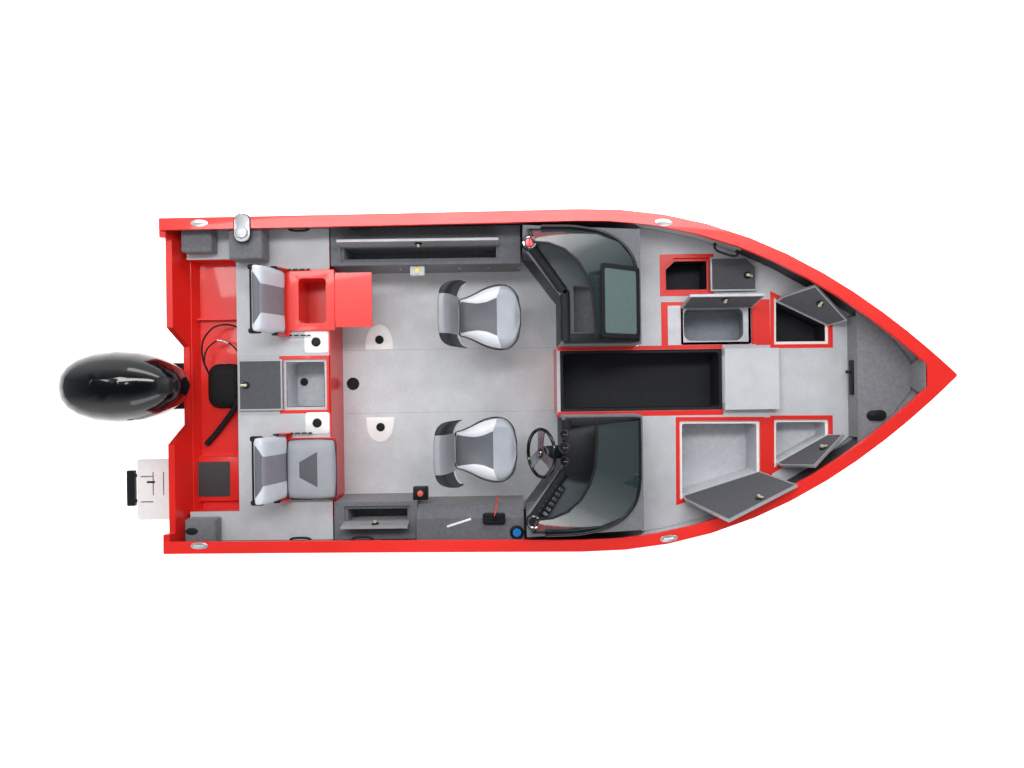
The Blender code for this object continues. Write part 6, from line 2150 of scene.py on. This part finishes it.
@dataclass
class Studio:
    """Floor, light and the camera of the photograph."""

    eye: Point = (-0.276, -0.019, 6.04)
    turn: float = -0.79
    focal_px: float = 754.1
    width_px: int = 1024
    sensor: float = 36.0
    floor_half: float = 30.0
    aim_z: float = 0.3
    sky_colour: Quad = (0.97, 0.985, 1.0, 1.0)
    lamps: tuple[tuple[str, Point, Flat, float, bool], ...] = (
        ("port_softbox", (0.0, 4.6, 3.6), (7.0, 1.2), 140.0, True),
        ("stbd_softbox", (0.0, -5.0, 3.6), (7.0, 1.6), 70.0, True),
        ("overhead", (0.3, -0.3, 7.5), (5.5, 3.0), 60.0, False),
        ("rail_softbox", (-0.6, 2.62, 7.5), (9.6, 1.1), 430.0, True),
        ("spot_1", (-3.6, 0.75, 7.2), (0.55, 0.30), 5.0, True),
        ("spot_2", (-4.8, 0.80, 7.2), (0.55, 0.30), 5.0, True),
        ("spot_3", (-6.0, 0.85, 7.2), (0.55, 0.30), 5.0, True),
        ("spot_4", (-7.2, 0.90, 7.2), (0.55, 0.30), 5.0, True))

    def sky(self) -> None:
        """Studio surroundings: bright walls to both sides, dim overhead and ahead."""
        world = bpy.data.worlds.new("studio")
        world.use_nodes = True
        tree = world.node_tree
        coordinates = tree.nodes.new("ShaderNodeTexCoord")
        parts = tree.nodes.new("ShaderNodeSeparateXYZ")
        tree.links.new(coordinates.outputs["Generated"], parts.inputs[0])
        spans = []
        side = math_output(tree, "ABSOLUTE", parts.outputs["Y"])
        for source, low, high, first, last in ((side, 0.25, 0.8, 0.35, 1.3),
                                               (parts.outputs["Z"], 0.5, 0.9, 1.0, 0.18)):
            span = tree.nodes.new("ShaderNodeMapRange")
            tree.links.new(source, span.inputs["Value"])
            for key, value in (("From Min", low), ("From Max", high), ("To Min", first), ("To Max", last)):
                span.inputs[key].default_value = value
            spans.append(span.outputs["Result"])
        strength = math_output(tree, "MULTIPLY", *spans)
        background = tree.nodes["Background"]
        background.inputs["Color"].default_value = self.sky_colour
        tree.links.new(strength, background.inputs["Strength"])
        bpy.context.scene.world = world

    def build(self) -> None:
        """Make the floor, the lights, the sky and the camera."""
        bm = bmesh.new()
        half = self.floor_half
        bm.faces.new([bm.verts.new((x, y, 0)) for x, y in rect(-half, half, -half, half)])
        floor = mesh_piece("studio_floor", bm)
        floor.data.materials.append(PAINTS.get(STUDIO_FLOOR))
        for name, at, size, power, seen in self.lamps:
            lamp = bpy.data.lights.new(name, "AREA")
            lamp.shape = "RECTANGLE"
            lamp.size, lamp.size_y = size
            lamp.energy = power
            piece = bpy.data.objects.new(name, lamp)
            piece.location = at
            gaze = Vector((at[0] * 0.5, 0, self.aim_z)) - Vector(at)
            piece.rotation_euler = gaze.to_track_quat("-Z", "Y").to_euler()
            piece.visible_glossy = seen
            bpy.context.scene.collection.objects.link(piece)
        self.sky()
        data = bpy.data.cameras.new("camera")
        data.sensor_width = self.sensor
        data.lens = self.sensor * self.focal_px / self.width_px
        camera = bpy.data.objects.new("camera", data)
        camera.location = self.eye
        camera.rotation_euler = (0, 0, math.radians(self.turn))
        bpy.context.scene.collection.objects.link(camera)
        bpy.context.scene.camera = camera
        bpy.context.scene.view_settings.view_transform = "Standard"


def main() -> None:
    """Load the frame, dress the boat and set up the studio."""
    logging.basicConfig(level=logging.INFO, format="%(message)s")
    FRAME.update(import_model())
    CadFinishes().apply()
    parts = (HatchTrim(), BowDeck(), AftDeck(), SplashWell(), Gunwales(), Helm(), Gate(), Motor(), Stern(),
             Cockpit(), JumpSeat(Side.PORT), JumpSeat(Side.STBD), JumpCushion(),
             PedestalSeat("driver", -0.53, -0.495), PedestalSeat("passenger", -0.49, 0.468))
    for part in parts:
        part.build()
        LOG.info("built %s", type(part).__name__)
    Studio().build()
    LOG.info("dressed %d CAD nodes", len(FRAME["nodes"]))


if __name__ == "__main__":
    main()
